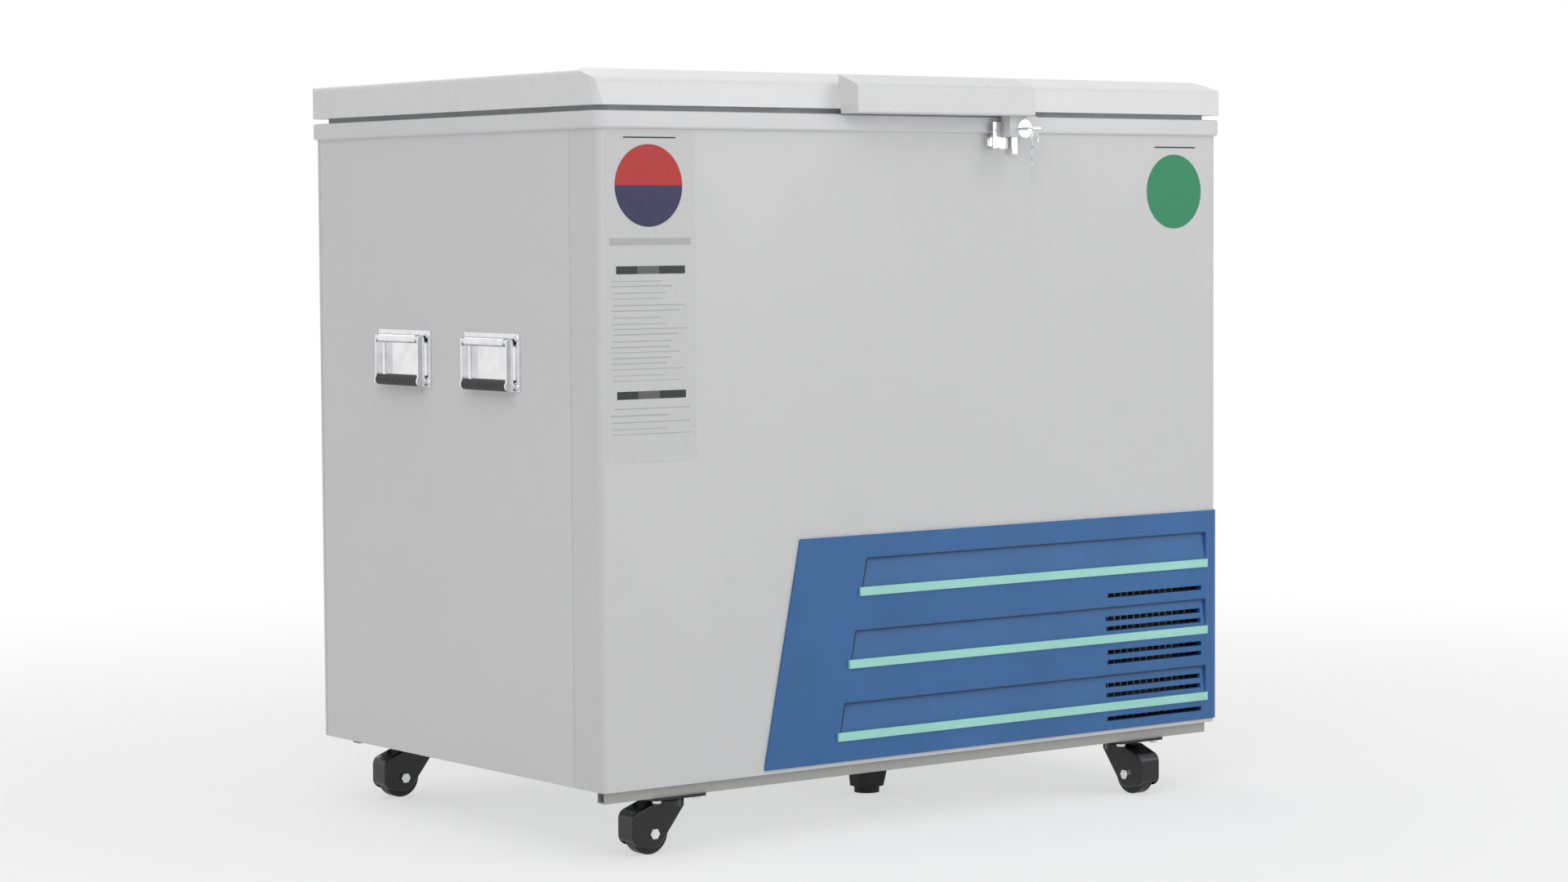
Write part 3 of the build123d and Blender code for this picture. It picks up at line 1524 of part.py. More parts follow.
with BuildPart() as lock_barrel:
    with BuildSketch(facing_front(lock_back_y + slip_gap)):
        with Locations((lock_x, lock_z)):
            Circle(barrel_radius)
    extrude(amount=lock_front_reach - lock_back_reach + slip_gap)
    with BuildSketch(facing_front(lock_front_y)):
        with Locations((lock_x, lock_z)):
            Circle(barrel_flange_radius)
    extrude(amount=barrel_flange)
    with BuildSketch(facing_front(cam_back_y)):
        with Locations((lock_x, lock_z)):
            Circle(barrel_radius - 2)
        with Locations((lock_x, lock_z - cam_length / 2)):
            Rectangle(cam_width, cam_length)
    extrude(amount=cam_thickness)
    with BuildSketch(facing_front(lock_front_y)):
        with Locations((lock_x, lock_z)):
            Rectangle(8 + 2 * slip_gap, key_thickness + 2 * slip_gap)
    extrude(amount=2 * barrel_flange, both=True, mode=Mode.SUBTRACT)
write(lock_barrel, "lock_barrel")

key_tip_y = lock_front_y + barrel_flange

with BuildPart() as lock_key:
    with BuildSketch(Plane.XY.offset(lock_z - key_thickness / 2)):
        span_rectangle(lock_x - 4, lock_x + 4, lock_front_y - 2 * barrel_flange - 3, key_tip_y)
        with Locations((lock_x, lock_front_y - barrel_flange - key_bow_reach / 2 - 2)):
            RectangleRounded(key_bow_width, key_bow_reach - 4, 7)
            with Locations((0, -key_bow_reach / 2 + 7)):
                Circle(2.5, mode=Mode.SUBTRACT)
    extrude(amount=key_thickness)
write(lock_key, "lock_key")

with BuildPart() as lock_keeper:
    keeper_high_z = top_z - 2
    keeper_low_z = keeper_high_z - keeper_height
    hook_top_z = lock_z + cam_width / 2 + 2
    with BuildSketch(facing_front(front_y)):
        rounded_span(keeper_left_x, keeper_left_x + keeper_width, keeper_low_z, keeper_high_z, 2)
    extrude(amount=keeper_sheet)
    with BuildSketch(facing_right(keeper_left_x)):
        arm_front = front_y - lock_back_reach - 2 * keeper_sheet
        span_rectangle(arm_front, front_y, keeper_low_z, keeper_low_z + 3)
        span_rectangle(arm_front, arm_front + keeper_sheet, keeper_low_z, hook_top_z + keeper_sheet)
        span_rectangle(arm_front, lock_back_y + 3, hook_top_z, hook_top_z + keeper_sheet)
    extrude(amount=keeper_arm_width)
write(lock_keeper, "lock_keeper")
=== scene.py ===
import math
import random

import bmesh
import bpy
from mathutils import Matrix, Vector


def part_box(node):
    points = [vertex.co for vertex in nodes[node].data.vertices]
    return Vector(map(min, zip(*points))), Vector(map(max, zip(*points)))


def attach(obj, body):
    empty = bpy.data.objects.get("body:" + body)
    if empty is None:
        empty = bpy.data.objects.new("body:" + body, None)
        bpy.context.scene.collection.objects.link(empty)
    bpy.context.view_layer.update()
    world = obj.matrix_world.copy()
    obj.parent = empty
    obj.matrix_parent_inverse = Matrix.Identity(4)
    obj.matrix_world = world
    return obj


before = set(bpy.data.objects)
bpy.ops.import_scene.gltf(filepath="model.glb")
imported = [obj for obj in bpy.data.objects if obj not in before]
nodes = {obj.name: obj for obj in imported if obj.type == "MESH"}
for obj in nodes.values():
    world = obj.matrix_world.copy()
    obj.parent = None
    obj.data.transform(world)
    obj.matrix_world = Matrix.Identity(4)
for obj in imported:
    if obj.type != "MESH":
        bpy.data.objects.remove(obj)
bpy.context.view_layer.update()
scene = bpy.context.scene
MM = 0.001


# Places read from the CAD nodes

front_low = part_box("front_panel")[0]
FRONT = front_low.y
LEFT = front_low.x
HEM = front_low.z
FILM_GAP = 0.0001
FACE = FRONT - FILM_GAP
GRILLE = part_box("front_grille")[0].y


def front_point(x, z, y=FACE):
    """A point on the front, from the cabinet's lower left corner, in millimetres."""
    return Vector((LEFT + x * MM, y, HEM + z * MM))


# Materials

BEVEL_SAMPLES = 4
# Places of the colour sockets on a mix node
MIX_A, MIX_B, MIX_RESULT = 6, 7, 2


class Graph:
    """A material's node tree, with short calls for what the finishes share."""

    def __init__(self, name):
        self.material = bpy.data.materials.new(name)
        self.material.use_nodes = True
        self.tree = self.material.node_tree
        self.shader = self.tree.nodes["Principled BSDF"]
        self.where = self.add("ShaderNodeTexCoord").outputs["Object"]

    def add(self, kind, **values):
        node = self.tree.nodes.new(kind)
        for key, value in values.items():
            setattr(node, key, value)
        return node

    def link(self, out, into):
        self.tree.links.new(out, into)

    def stretched(self, scale):
        """The object's coordinates, scaled by axis."""
        mapping = self.add("ShaderNodeMapping")
        mapping.inputs["Scale"].default_value = scale
        self.link(self.where, mapping.inputs["Vector"])
        return mapping.outputs["Vector"]

    def noise(self, scale, detail=3.0, rough=0.5, where=None):
        node = self.add("ShaderNodeTexNoise")
        node.inputs["Scale"].default_value = scale
        node.inputs["Detail"].default_value = detail
        node.inputs["Roughness"].default_value = rough
        self.link(where or self.where, node.inputs["Vector"])
        return node.outputs["Fac"]

    def cells(self, scale, output="Distance", feature="F1"):
        node = self.add("ShaderNodeTexVoronoi", feature=feature)
        node.inputs["Scale"].default_value = scale
        self.link(self.where, node.inputs["Vector"])
        return node.outputs[output]

    def span(self, value, low, high, from_low=0.3, from_high=0.7):
        """Spreads one range of a value over another."""
        node = self.add("ShaderNodeMapRange")
        limits = {"From Min": from_low, "From Max": from_high, "To Min": low, "To Max": high}
        for name, number in limits.items():
            node.inputs[name].default_value = number
        self.link(value, node.inputs["Value"])
        return node.outputs["Result"]

    def blend(self, value, low, high):
        """Mixes two colours, each given as numbers or as a socket."""
        node = self.add("ShaderNodeMix", data_type="RGBA")
        self.link(value, node.inputs["Factor"])
        for socket, colour in ((node.inputs[MIX_A], low), (node.inputs[MIX_B], high)):
            if isinstance(colour, bpy.types.NodeSocket):
                self.link(colour, socket)
            else:
                socket.default_value = (*colour, 1)
        return node.outputs[MIX_RESULT]

    def colour(self, socket):
        self.link(socket, self.shader.inputs["Base Color"])

    def rough(self, value, low, high):
        self.link(self.span(value, low, high), self.shader.inputs["Roughness"])

    def bumps(self, *layers, edge=0.0):
        """Stacks bumps, each a height, a strength and a depth in metres, over softened edges."""
        normal = None
        if edge:
            node = self.add("ShaderNodeBevel", samples=BEVEL_SAMPLES)
            node.inputs["Radius"].default_value = edge
            normal = node.outputs["Normal"]
        for height, strength, depth in layers:
            node = self.add("ShaderNodeBump")
            node.inputs["Strength"].default_value = strength
            node.inputs["Distance"].default_value = depth
            self.link(height, node.inputs["Height"])
            if normal:
                self.link(normal, node.inputs["Normal"])
            normal = node.outputs["Normal"]
        self.link(normal, self.shader.inputs["Normal"])

    def set(self, **values):
        for key, value in values.items():
            self.shader.inputs[key.replace("_", " ")].default_value = value


def shade(colour, factor):
    """A colour made lighter or darker, capped at white."""
    return tuple(min(1.0, c * factor) for c in colour)


def coated_sheet(name, colour, peel=900, edge=0.0006, rough=(0.30, 0.38)):
    """Powder-coated sheet: fine orange peel, very faint waviness, and handling marks in the gloss."""
    g = Graph(name)
    broad = g.noise(2.6, 4, 0.6)
    marks = g.noise(14, 6, 0.65, g.stretched((1, 1, 0.35)))
    tone = g.blend(g.span(broad, 0, 1, 0.35, 0.65), shade(colour, 0.975), colour)
    g.colour(g.blend(g.span(marks, 0, 0.35, 0.62, 0.8), tone, shade(colour, 0.93)))
    g.rough(marks, *rough)
    g.bumps((g.noise(3.2, 2), 0.05, 0.004), (g.noise(peel, 2), 0.10, 0.00025), edge=edge)
    return g.material


def moulded(name, colour, rough=(0.28, 0.40), grain=1500, fade=0.9):
    """Moulded plastic: fine spark grain, slight sink and flow variation, scuffs that lift the roughness."""
    g = Graph(name)
    flow = g.noise(9, 4, 0.55)
    scuff = g.noise(60, 8, 0.7, g.stretched((0.4, 1, 1)))
    tone = g.blend(g.span(flow, 0, 1), shade(colour, fade), colour)
    g.colour(g.blend(g.span(scuff, 0, 0.5, 0.66, 0.8), tone, shade(colour, 1.25)))
    g.rough(scuff, *rough)
    g.bumps((flow, 0.05, 0.002), (g.noise(grain, 2), 0.25, 0.0002), edge=0.0008)
    return g.material


def spangled(name, colour):
    """Hot-dip galvanised sheet: crystals of differing tone and gloss, and fine rolling lines."""
    g = Graph(name)
    g.set(Metallic=0.85)
    crystal = g.cells(75, "Color")
    tint = g.add("ShaderNodeSeparateColor")
    g.link(crystal, tint.inputs["Color"])
    g.colour(g.blend(g.span(tint.outputs["Red"], 0, 1, 0, 1), shade(colour, 0.82), shade(colour, 1.08)))
    g.link(g.span(tint.outputs["Green"], 0.36, 0.55, 0, 1), g.shader.inputs["Roughness"])
    g.bumps((g.noise(500, 3, 0.5, g.stretched((0.05, 1, 1))), 0.15, 0.0002), edge=0.0004)
    return g.material


def plated(name, colour, rough=(0.2, 0.34), lines=(1, 0.06, 1)):
    """Plated or drawn metal: fine drawing lines, dull patches and small spots."""
    g = Graph(name)
    g.set(Metallic=1.0)
    patch = g.noise(55, 5, 0.6)
    spots = g.cells(420)
    tone = g.blend(g.span(patch, 0, 1), shade(colour, 0.84), colour)
    g.colour(g.blend(g.span(spots, 0.5, 0, 0.02, 0.09), tone, shade(colour, 0.6)))
    g.rough(patch, *rough)
    g.bumps((g.noise(900, 3, 0.5, g.stretched(lines)), 0.12, 0.00015), edge=0.0004)
    return g.material


def stucco(name, colour):
    """Embossed aluminium sheet: a dense pattern of rounded hammered pips."""
    g = Graph(name)
    g.set(Metallic=0.9)
    pips = g.cells(150, feature="SMOOTH_F1")
    g.colour(g.blend(g.span(g.noise(20, 4), 0, 1), shade(colour, 0.9), colour))
    g.rough(g.noise(40, 5), 0.26, 0.4)
    g.bumps((pips, 0.55, 0.0012), (g.noise(700, 2), 0.1, 0.0002), edge=0.0006)
    return g.material


def cellular(name, colour):
    """Cut rigid foam: open cells, a yellowed skin and crumbs of lighter tone."""
    g = Graph(name)
    g.set(Roughness=0.92, Specular_IOR_Level=0.2)
    cell = g.cells(420)
    g.colour(g.blend(g.span(g.noise(8, 6, 0.6), 0, 1), shade(colour, 0.86), shade(colour, 1.05)))
    g.bumps((cell, 0.7, 0.0008), (g.noise(60, 4), 0.3, 0.001))
    return g.material


def elastic(name, colour, rough=(0.55, 0.75), ribs=0.0):
    """Rubber: soft sheen, a dusty bloom and pores, with optional moulded ribs along Y."""
    g = Graph(name)
    g.set(Specular_IOR_Level=0.35)
    dust = g.noise(30, 6, 0.7)
    bloom = tuple(c * 0.8 + 0.03 for c in colour)
    g.colour(g.blend(g.span(dust, 0, 1, 0.45, 0.75), colour, bloom))
    g.rough(dust, *rough)
    layers = [(g.noise(1300, 2), 0.3, 0.0002)]
    if ribs:
        wave = g.add("ShaderNodeTexWave", bands_direction="Y")
        wave.inputs["Scale"].default_value = ribs
        g.link(g.where, wave.inputs["Vector"])
        layers.append((wave.outputs["Fac"], 0.8, 0.0006))
    g.bumps(*layers, edge=0.0005)
    return g.material


def enamel(name, colour):
    """Stoved black enamel: glossy with drips, pinholes and dust on what faces up."""
    g = Graph(name)
    geometry = g.add("ShaderNodeNewGeometry")
    up = g.add("ShaderNodeSeparateXYZ")
    g.link(geometry.outputs["Normal"], up.inputs["Vector"])
    settle = g.add("ShaderNodeMath", operation="MULTIPLY")
    g.link(g.span(up.outputs["Z"], 0, 1, 0.3, 1), settle.inputs[0])
    g.link(g.span(g.noise(70, 7, 0.7), 0, 0.5, 0.4, 0.7), settle.inputs[1])
    g.colour(g.blend(settle.outputs["Value"], colour, (0.18, 0.17, 0.16)))
    g.rough(g.noise(25, 5), 0.16, 0.34)
    g.bumps((g.noise(18, 3), 0.2, 0.002), (g.noise(500, 2), 0.12, 0.0002), edge=0.0005)
    return g.material


def clear_pack(name, colour):
    """Blown pack filled with water: waxy, faintly see-through, with wall-thickness clouds."""
    g = Graph(name)
    g.set(Subsurface_Weight=0.25, Subsurface_Scale=0.02, IOR=1.45)
    cloud = g.noise(12, 5, 0.6)
    g.colour(g.blend(g.span(cloud, 0, 1), shade(colour, 0.9), shade(colour, 1.08)))
    g.rough(cloud, 0.3, 0.45)
    g.bumps((g.noise(26, 2), 0.3, 0.002), (g.noise(900, 2), 0.15, 0.0002))
    return g.material


def paper(name, colour, rough=0.5):
    """Printed self-adhesive film: slightly cockled, with faint uneven ink."""
    g = Graph(name)
    ink = g.noise(130, 6, 0.65)
    g.colour(g.blend(g.span(ink, 0, 1), shade(colour, 1 - 0.06), colour))
    g.rough(ink, rough - 0.07, rough + 0.07)
    g.bumps((g.noise(34, 2), 0.16, 0.001), (g.noise(1500, 2), 0.1, 0.0001))
    return g.material


# One paint in two copies: the front copy is darker as painted shade, the side copy lighter as painted light
PAINT_FRONT_SHADED = coated_sheet("front_coating_shaded", (0.72, 0.72, 0.725))
PAINT_SIDE_LIT = coated_sheet("side_coating_lit", (0.76, 0.76, 0.77))
PAINT_LID = coated_sheet("lid_coating", (0.86, 0.86, 0.87), peel=1100, rough=(0.24, 0.32))
COLLAR = moulded("collar_plastic", (0.80, 0.80, 0.81), fade=0.97)
HANDLE = moulded("handle_plastic", (0.80, 0.80, 0.805), rough=(0.24, 0.36), fade=0.97)
PLUG = moulded("lid_liner_plastic", (0.84, 0.84, 0.84), rough=(0.2, 0.3), fade=0.97, grain=700)
BLUE = moulded("grille_plastic", (0.030, 0.150, 0.400), rough=(0.30, 0.42), fade=0.86)
MINT = moulded("accent_plastic", (0.42, 0.86, 0.76), rough=(0.2, 0.3), fade=0.93)
STUCCO = stucco("stucco_aluminium", (0.80, 0.81, 0.82))
FOAM = cellular("rigid_foam", (0.86, 0.76, 0.50))
ICE = clear_pack("ice_pack_plastic", (0.50, 0.68, 0.82))
COPPER = plated("copper_tube", (0.80, 0.42, 0.26), rough=(0.25, 0.45))
GALVANISED = spangled("galvanised_sheet", (0.62, 0.63, 0.65))
ENAMEL = enamel("black_enamel", (0.012, 0.012, 0.014))
RUBBER = elastic("black_rubber", (0.018, 0.018, 0.018))
FIN = plated("fin_aluminium", (0.80, 0.81, 0.82), rough=(0.3, 0.5), lines=(1, 1, 0.05))
BLACK = moulded("black_plastic", (0.014, 0.014, 0.016), rough=(0.35, 0.5), fade=0.8)
GREY = moulded("grey_plastic", (0.22, 0.23, 0.25), rough=(0.35, 0.5))
BASKET = coated_sheet("basket_coating", (0.80, 0.80, 0.79), peel=500, edge=0.0004)
RAIL = coated_sheet("rail_coating", (0.44, 0.44, 0.42), peel=700, rough=(0.38, 0.5))
CASTOR = moulded("castor_nylon", (0.008, 0.008, 0.010), rough=(0.12, 0.26), grain=900, fade=0.8)
TREAD = elastic("castor_tread", (0.012, 0.012, 0.012), rough=(0.35, 0.6))
ZINC = plated("zinc_plate", (0.74, 0.75, 0.77), rough=(0.2, 0.36))
CHROME = plated("chrome_plate", (0.86, 0.86, 0.87), rough=(0.08, 0.2), lines=(1, 1, 1))
SEAL = elastic("seal_rubber", (0.60, 0.61, 0.62), rough=(0.5, 0.65))
GRIP = elastic("grip_rubber", (0.014, 0.014, 0.016), rough=(0.4, 0.55), ribs=55)
LABEL = paper("label_film", (0.70, 0.70, 0.705))
LABEL_HEAD = paper("label_header", (0.52, 0.52, 0.53))
LABEL_LINE = paper("label_rule", (0.50, 0.50, 0.51))
LABEL_BLACK = paper("label_black", (0.012, 0.014, 0.014), rough=0.4)
LABEL_GREY = paper("label_grey", (0.12, 0.12, 0.12), rough=0.4)
RED = paper("disc_red", (0.52, 0.020, 0.020), rough=0.42)
NAVY = paper("disc_navy", (0.020, 0.012, 0.085), rough=0.42)
GREEN = paper("disc_green", (0.012, 0.27, 0.115), rough=0.42)
# Dark blue for the painted shadow lines at the step of each louvre
SHADOW_BLUE = moulded("grille_painted_shadow", (0.006, 0.028, 0.085), rough=(0.5, 0.6))

finishes = {
    "front_panel": PAINT_FRONT_SHADED, "rear_panel": PAINT_FRONT_SHADED, "left_side_panel": PAINT_SIDE_LIT,
    "right_side_panel": PAINT_SIDE_LIT, "base_tray": GALVANISED, "machine_bay_sheet": GALVANISED,
    "insulation_foam": FOAM, "inner_liner": STUCCO, "ice_lining_packs": ICE, "evaporator_coil": COPPER,
    "collar_frame": COLLAR, "storage_basket": BASKET, "front_grille": BLUE, "accent_strips": MINT,
    "rear_vent_cover": GALVANISED, "power_inlet": BLACK, "compressor": ENAMEL, "compressor_mounts": RUBBER,
    "condenser": FIN, "fan_shroud": BLACK, "fan_rotor": GREY, "control_box": GREY, "base_rails": RAIL,
    "castor_plates": CASTOR, "castor_bolts": ZINC, "support_foot": RUBBER, "handle_plates": CHROME,
    "cabinet_fixings": ZINC, "lid_shell": PAINT_LID, "lid_inner_panel": PLUG, "lid_foam": FOAM,
    "lid_gasket": SEAL, "lid_handle": HANDLE, "hinge_bases": ZINC, "hinge_arms": ZINC,
    "hinge_fixings": ZINC, "lock_housing": HANDLE, "lock_barrel": CHROME, "lock_key": ZINC,
    "lock_keeper": CHROME,
}
families = {
    "castor_fork": CASTOR, "castor_axle": CHROME, "castor_wheel": TREAD, "bail": CHROME, "grip": GRIP,
}
for name, obj in nodes.items():
    finish = finishes.get(name)
    if finish is None:
        finish = next(m for key, m in families.items() if name.startswith(key + "_"))
    for index in range(max(1, len(obj.material_slots))):
        if not obj.material_slots:
            obj.data.materials.append(finish)
        obj.material_slots[index].material = finish


# Pieces made here


def piece(name, bm, material, body):
    """A mesh piece that rides on a body."""
    mesh = bpy.data.meshes.new(name)
    bm.to_mesh(mesh)
    bm.free()
    obj = bpy.data.objects.new(name, mesh)
    scene.collection.objects.link(obj)
    mesh.materials.append(material)
    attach(obj, body)


def film(name, outlines, material, lift=0.0, thick=0.25, y=FACE, border=0.35):
    """Thin films on the front: each outline, in cabinet millimetres, is raised with a small bevelled edge."""
    bm = bmesh.new()
    for outline in outlines:
        points = [front_point(x, z, y - lift * MM) for x, z in outline]
        middle = sum(points, Vector()) / len(points)
        low = [bm.verts.new(p) for p in points]
        high = []
        for p in points:
            inward = (middle - p).normalized() * border * MM
            high.append(bm.verts.new(p + inward + Vector((0, -thick * MM, 0))))
        count = len(points)
        for i in range(count):
            j = (i + 1) % count
            bm.faces.new((low[i], low[j], high[j], high[i]))
        bm.faces.new(high)
    bmesh.ops.recalc_face_normals(bm, faces=bm.faces)
    piece(name, bm, material, "cabinet")


def bar(low_x, high_x, low_z, high_z):
    """The outline of an upright rectangle on the front."""
    return [(low_x, low_z), (high_x, low_z), (high_x, high_z), (low_x, high_z)]


def arc(cx, cz, radius, start, end, count=40):
    """Points along an arc on the front, between two angles in degrees."""
    angles = (math.radians(start + (end - start) * i / count) for i in range(count + 1))
    return [(cx + radius * math.cos(a), cz + radius * math.sin(a)) for a in angles]


# Discs and the label sheet on the front, all without words, in cabinet millimetres
DISC_RADIUS = 46.5
LEFT_DISC = (68.5, 684)
RIGHT_DISC = (876, 677.6)
HALF_DISC_LIFT = 0.3
SHEET_THICK = 0.15
BAR_LEVELS = (589, 448)
BAR_HALF_HEIGHT = 4.5
RULES_TOP, RULES_FOOT = 576, 402
RULE_LEFT = 14
CLEAR_OF_BAR = (438, 460)


def level_bars(low_x, high_x):
    """One bar at each of the label's two bar levels."""
    return [bar(low_x, high_x, z - BAR_HALF_HEIGHT, z + BAR_HALF_HEIGHT) for z in BAR_LEVELS]


film("disc_upper_half", [arc(*LEFT_DISC, DISC_RADIUS, 0, 180)], RED, lift=HALF_DISC_LIFT)
film("disc_lower_half", [arc(*LEFT_DISC, DISC_RADIUS, 180, 360)], NAVY, lift=HALF_DISC_LIFT)
film("disc_right", [arc(*RIGHT_DISC, DISC_RADIUS, 0, 360)[:-1]], GREEN)
film("label_sheet", [bar(9.5, 133, 372, 745)], LABEL, thick=SHEET_THICK)
film("label_header", [bar(14, 126, 617, 625)], LABEL_HEAD, lift=SHEET_THICK, thick=0.12)
film("label_bars", level_bars(23, 52) + level_bars(82, 118), LABEL_BLACK, lift=SHEET_THICK, thick=0.15)
film("label_bar_windows", level_bars(52, 82), LABEL_GREY, lift=SHEET_THICK, thick=0.15)
random.seed(4)
rules = []
level = RULES_TOP
while level > RULES_FOOT:
    if not CLEAR_OF_BAR[0] < level < CLEAR_OF_BAR[1]:
        start = RULE_LEFT + random.uniform(0, 5)
        rules.append(bar(start, random.uniform(82, 126), level, level + random.uniform(0.7, 1.5)))
    level -= random.uniform(5.5, 8.0)
film("label_rules", rules, LABEL_LINE, lift=SHEET_THICK, thick=0.08, border=0.1)
# Two thin dark strips high on the front
dark_strips = [bar(34, 106, 737.2, 738.8), bar(843, 912, 732.2, 733.8)]
film("upper_dark_strips", dark_strips, LABEL_BLACK, thick=0.3, border=0.15)

# Painted shadow lines along the top and the left of each louvre, where the pocket's step casts shade; each
# louvre's left edge leans in as it goes down
LOUVRES = 3
LOUVRE_PITCH = 85.3
LOUVRE_HEIGHT = 34.5
LOUVRE_TOP = 245
LOUVRE_LEFT, LOUVRE_RIGHT = 377, 929
LOUVRE_LEAN = 0.2
TOP_LINE, SIDE_LINE = 1.6, 1.8

for index in range(LOUVRES):
    top = LOUVRE_TOP - LOUVRE_PITCH * index
    foot = top - LOUVRE_HEIGHT
    left_top = LOUVRE_LEFT - LOUVRE_LEAN * LOUVRE_PITCH * index
    left_foot = left_top - LOUVRE_LEAN * LOUVRE_HEIGHT
    under = top - TOP_LINE
    film(
        f"louvre_shadow_line_{index + 1}",
        [
            bar(left_top, LOUVRE_RIGHT, under, top),
            [(left_foot, foot), (left_foot + SIDE_LINE, foot), (left_top + SIDE_LINE, under), (left_top, under)],
        ],
        SHADOW_BLUE,
        y=GRILLE,
        lift=-0.9,
        thick=0.8,
        border=0.2,
    )


def wire_loop(name, points, radius, material, body):
    """A round wire that runs along smooth points and closes on itself."""
    curve = bpy.data.curves.new(name, "CURVE")
    curve.dimensions = "3D"
    curve.bevel_depth = radius
    curve.bevel_resolution = 3
    curve.resolution_u = 10
    spline = curve.splines.new("NURBS")
    spline.points.add(len(points) - 1)
    for p, co in zip(spline.points, points):
        p.co = (*co, 1)
    spline.order_u = 3
    spline.use_cyclic_u = True
    source = bpy.data.objects.new(name, curve)
    scene.collection.objects.link(source)
    mesh = bpy.data.meshes.new_from_object(source)
    bpy.data.objects.remove(source)
    bpy.data.curves.remove(curve)
    made = bpy.data.objects.new(name, mesh)
    scene.collection.objects.link(made)
    mesh.materials.clear()
    mesh.materials.append(material)
    for polygon in mesh.polygons:
        polygon.use_smooth = True
    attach(made, body)


def ring_points(centre, radius, across, up, count=16):
    """Points round a circle that stands in the plane of two directions."""
    return [
        centre + across * radius * math.cos(a) + up * radius * math.sin(a)
        for a in (2 * math.pi * i / count for i in range(count))
    ]


# Key ring with a spare key on it, hung through the bow of the key
Y, Z = Vector((0, 1, 0)), Vector((0, 0, 1))
RING_RADIUS = 0.0115
RING_WIRE = 0.0007
RING_ACROSS = Vector((0.7, 0.4, 0)).normalized()
BOW_INSET = 0.0045
SPARE_BOW_RADIUS = 0.0095
SPARE_BOW_DROP = 0.009
SPARE_THICK = 0.0018
TOOTH_DEPTH, TOOTH_PITCH = 0.0012, 0.0025
SPARE_TURN, SPARE_SWING = 0.5, 0.12
SPARE_DROP, SPARE_BACK = 0.0105, 0.001

key_low, key_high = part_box("lock_key")
ring_top = Vector(((key_low.x + key_high.x) / 2, key_low.y + BOW_INSET, (key_low.z + key_high.z) / 2))
ring_centre = ring_top - Z * RING_RADIUS
ring = ring_points(ring_centre, RING_RADIUS, RING_ACROSS, Z)
wire_loop("key_ring", ring, RING_WIRE, CHROME, "lock")


def spare_key(name, top):
    """A flat key that hangs by the top of its round bow, with teeth along one edge of the blade."""
    turns = [math.radians(a) for a in range(20, 341, 20)]
    bow = [(SPARE_BOW_RADIUS * math.sin(a), -SPARE_BOW_DROP + SPARE_BOW_RADIUS * math.cos(a)) for a in turns]
    blade = [(0.0035, -0.0185), (0.0035, -0.040), (0.0012, -0.043), (-0.0018, -0.042)]
    teeth = [(-0.0018 - (TOOTH_DEPTH if i % 2 else 0), -0.040 + i * TOOTH_PITCH) for i in range(8)]
    outline = bow[:9] + blade + teeth + bow[9:]
    bm = bmesh.new()
    for y in (0, SPARE_THICK):
        bm.faces.new([bm.verts.new((x, y, z)) for x, z in outline])
    faces = list(bm.faces)
    a, b = list(faces[0].verts), list(faces[1].verts)
    for i in range(len(a)):
        j = (i + 1) % len(a)
        bm.faces.new((a[i], a[j], b[j], b[i]))
    bmesh.ops.recalc_face_normals(bm, faces=bm.faces)
    hang = Matrix.Rotation(SPARE_TURN, 4, "Z") @ Matrix.Rotation(SPARE_SWING, 4, "Y")
    bm.transform(Matrix.Translation(top) @ hang)
    piece(name, bm, ZINC, "lock")


spare_key("spare_key", ring_centre - Z * SPARE_DROP + Y * SPARE_BACK)

# Camera at the photograph's place
LENS = 83.64
SENSOR_WIDTH = 36.0
CAMERA_RIGHT, CAMERA_UP = -2292.7, 638.7
CAMERA_DISTANCE = 3.3706
YAW, PITCH, ROLL = 37.113, 3.394, -0.360


def aim(position, yaw, pitch, roll):
    """A camera's place and turn, from angles in degrees."""
    yaw, pitch, roll = (math.radians(v) for v in (yaw, pitch, roll))
    forward = Vector((math.sin(yaw) * math.cos(pitch), math.cos(yaw) * math.cos(pitch), -math.sin(pitch)))
    right = Vector((math.cos(yaw), -math.sin(yaw), 0))
    up = right.cross(forward)
    across = right * math.cos(roll) + up * math.sin(roll)
    above = -right * math.sin(roll) + up * math.cos(roll)
    turned = Matrix((across, above, -forward)).transposed().to_4x4()
    return Matrix.Translation(position) @ turned


data = bpy.data.cameras.new("photo_camera")
data.lens = LENS
data.sensor_width = SENSOR_WIDTH
data.clip_end = 60
camera = bpy.data.objects.new("photo_camera", data)
scene.collection.objects.link(camera)
camera_place = front_point(CAMERA_RIGHT, CAMERA_UP, FRONT - CAMERA_DISTANCE)
camera.matrix_world = aim(camera_place, YAW, PITCH, ROLL)
scene.camera = camera

# Floor, light and world


def lamp(name, place, target, size, power):
    """A rectangular area lamp, with its size in metres and its power in watts."""
    light = bpy.data.lights.new(name, "AREA")
    light.shape = "RECTANGLE"
    light.size, light.size_y = size
    light.energy = power
    obj = bpy.data.objects.new(name, light)
    scene.collection.objects.link(obj)
    obj.location = place
    obj.rotation_euler = (Vector(target) - Vector(place)).to_track_quat("-Z", "Y").to_euler()


lamp("key_light", (-2.6, -2.4, 3.0), (0, 0, 0.45), (2.6, 2.2), 36)
lamp("fill_light", (1.9, -3.2, 1.7), (0, 0, 0.4), (2.4, 2.0), 25)
lamp("back_light", (0.6, 3.2, 2.6), (0, 0, 0.5), (2.6, 1.6), 20)
lamp("top_light", (0, -0.2, 3.6), (0, 0, 0), (2.8, 2.4), 15)

WORLD_LIGHT = 0.42
WORLD_SEEN = 1.0

world = bpy.data.worlds.new("studio")
scene.world = world
world.use_nodes = True
tree = world.node_tree
background = tree.nodes["Background"]
background.inputs["Color"].default_value = (1, 1, 1, 1)
path = tree.nodes.new("ShaderNodeLightPath")


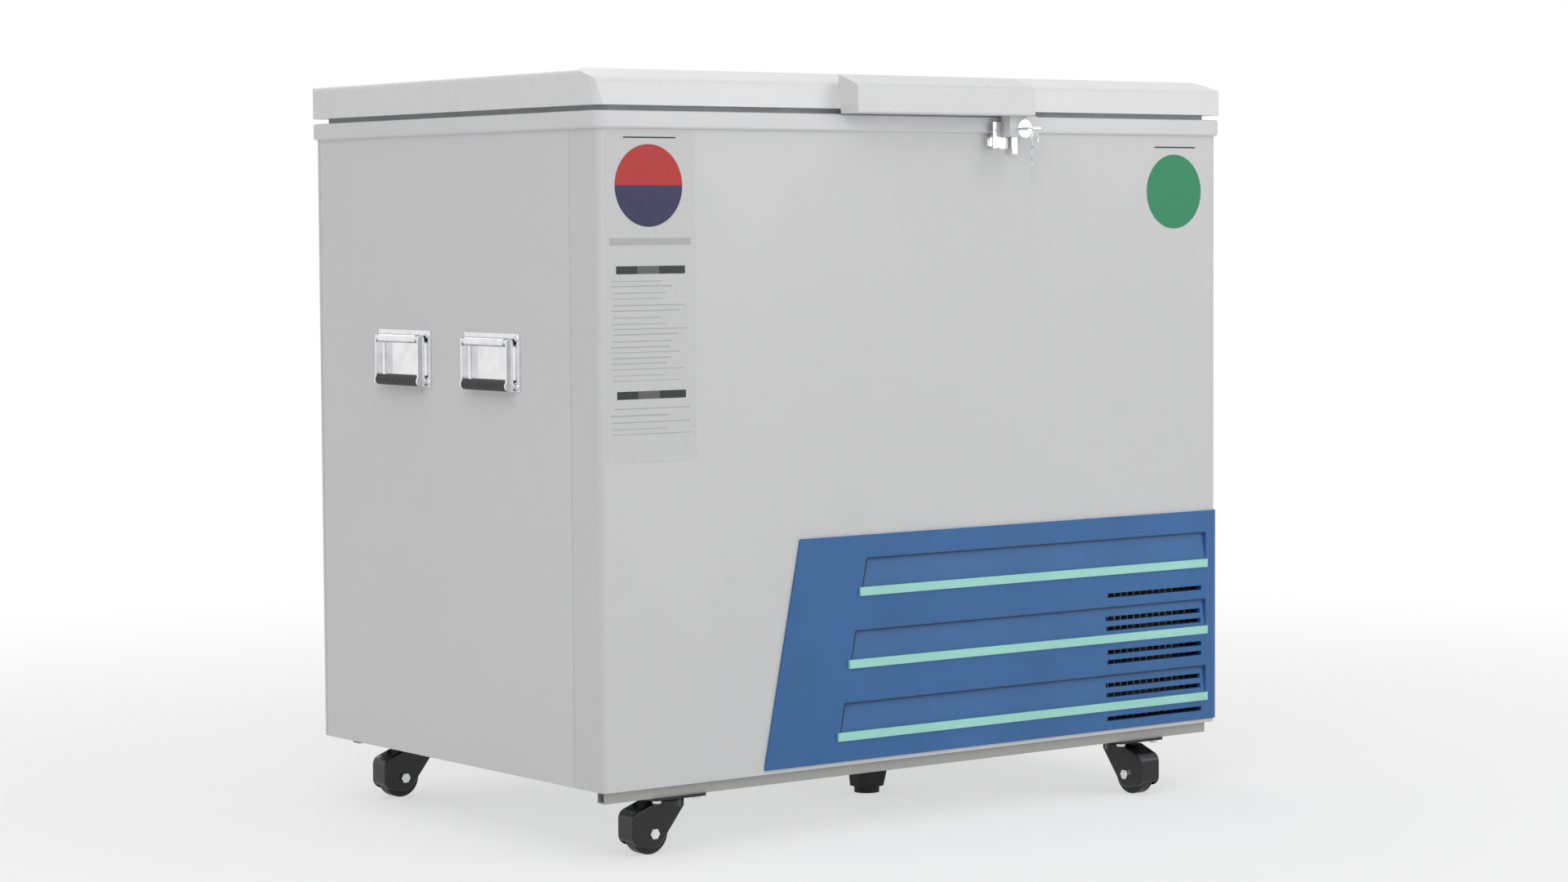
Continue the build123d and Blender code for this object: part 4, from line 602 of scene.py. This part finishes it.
def either(first, second):
    """The larger of two values, so that either kind of ray counts."""
    node = tree.nodes.new("ShaderNodeMath")
    node.operation = "MAXIMUM"
    tree.links.new(first, node.inputs[0])
    tree.links.new(second, node.inputs[1])
    return node.outputs["Value"]


seen = either(
    either(path.outputs["Is Camera Ray"], path.outputs["Is Glossy Ray"]), path.outputs["Is Transmission Ray"]
)
level = tree.nodes.new("ShaderNodeMapRange")
level.inputs["To Min"].default_value = WORLD_LIGHT
level.inputs["To Max"].default_value = WORLD_SEEN
tree.links.new(seen, level.inputs["Value"])
tree.links.new(level.outputs["Result"], background.inputs["Strength"])

# White floor that glows more towards the distance, so that it runs into the background
FLOOR_RADIUS = 30
GLOW_NEAR, GLOW_FAR = 0.8, 2.6
GLOW_LEAST, GLOW_MOST = 0.55, 1.0

bm = bmesh.new()
bmesh.ops.create_circle(bm, cap_ends=True, radius=FLOOR_RADIUS, segments=96)
mesh = bpy.data.meshes.new("floor")
bm.to_mesh(mesh)
bm.free()
floor = bpy.data.objects.new("floor", mesh)
scene.collection.objects.link(floor)
g = Graph("floor_white")
g.set(Roughness=0.9, Specular_IOR_Level=0.0)
g.colour(g.blend(g.noise(0.8, 2), (0.93, 0.93, 0.93), (0.95, 0.95, 0.95)))
glow = g.add("ShaderNodeEmission")
reach = g.add("ShaderNodeVectorMath", operation="LENGTH")
g.link(g.where, reach.inputs[0])
rays = g.add("ShaderNodeLightPath")
kept = g.add("ShaderNodeMath", operation="MAXIMUM")
g.link(rays.outputs["Is Camera Ray"], kept.inputs[0])
g.link(rays.outputs["Is Glossy Ray"], kept.inputs[1])
share = g.add("ShaderNodeMath", operation="MULTIPLY")
g.link(g.span(reach.outputs["Value"], GLOW_LEAST, GLOW_MOST, GLOW_NEAR, GLOW_FAR), share.inputs[0])
g.link(kept.outputs["Value"], share.inputs[1])
mixed = g.add("ShaderNodeMixShader")
g.link(share.outputs["Value"], mixed.inputs["Fac"])
g.link(g.shader.outputs["BSDF"], mixed.inputs[1])
g.link(glow.outputs["Emission"], mixed.inputs[2])
g.link(mixed.outputs["Shader"], g.tree.nodes["Material Output"].inputs["Surface"])
mesh.materials.append(g.material)

scene.view_settings.view_transform = "Standard"
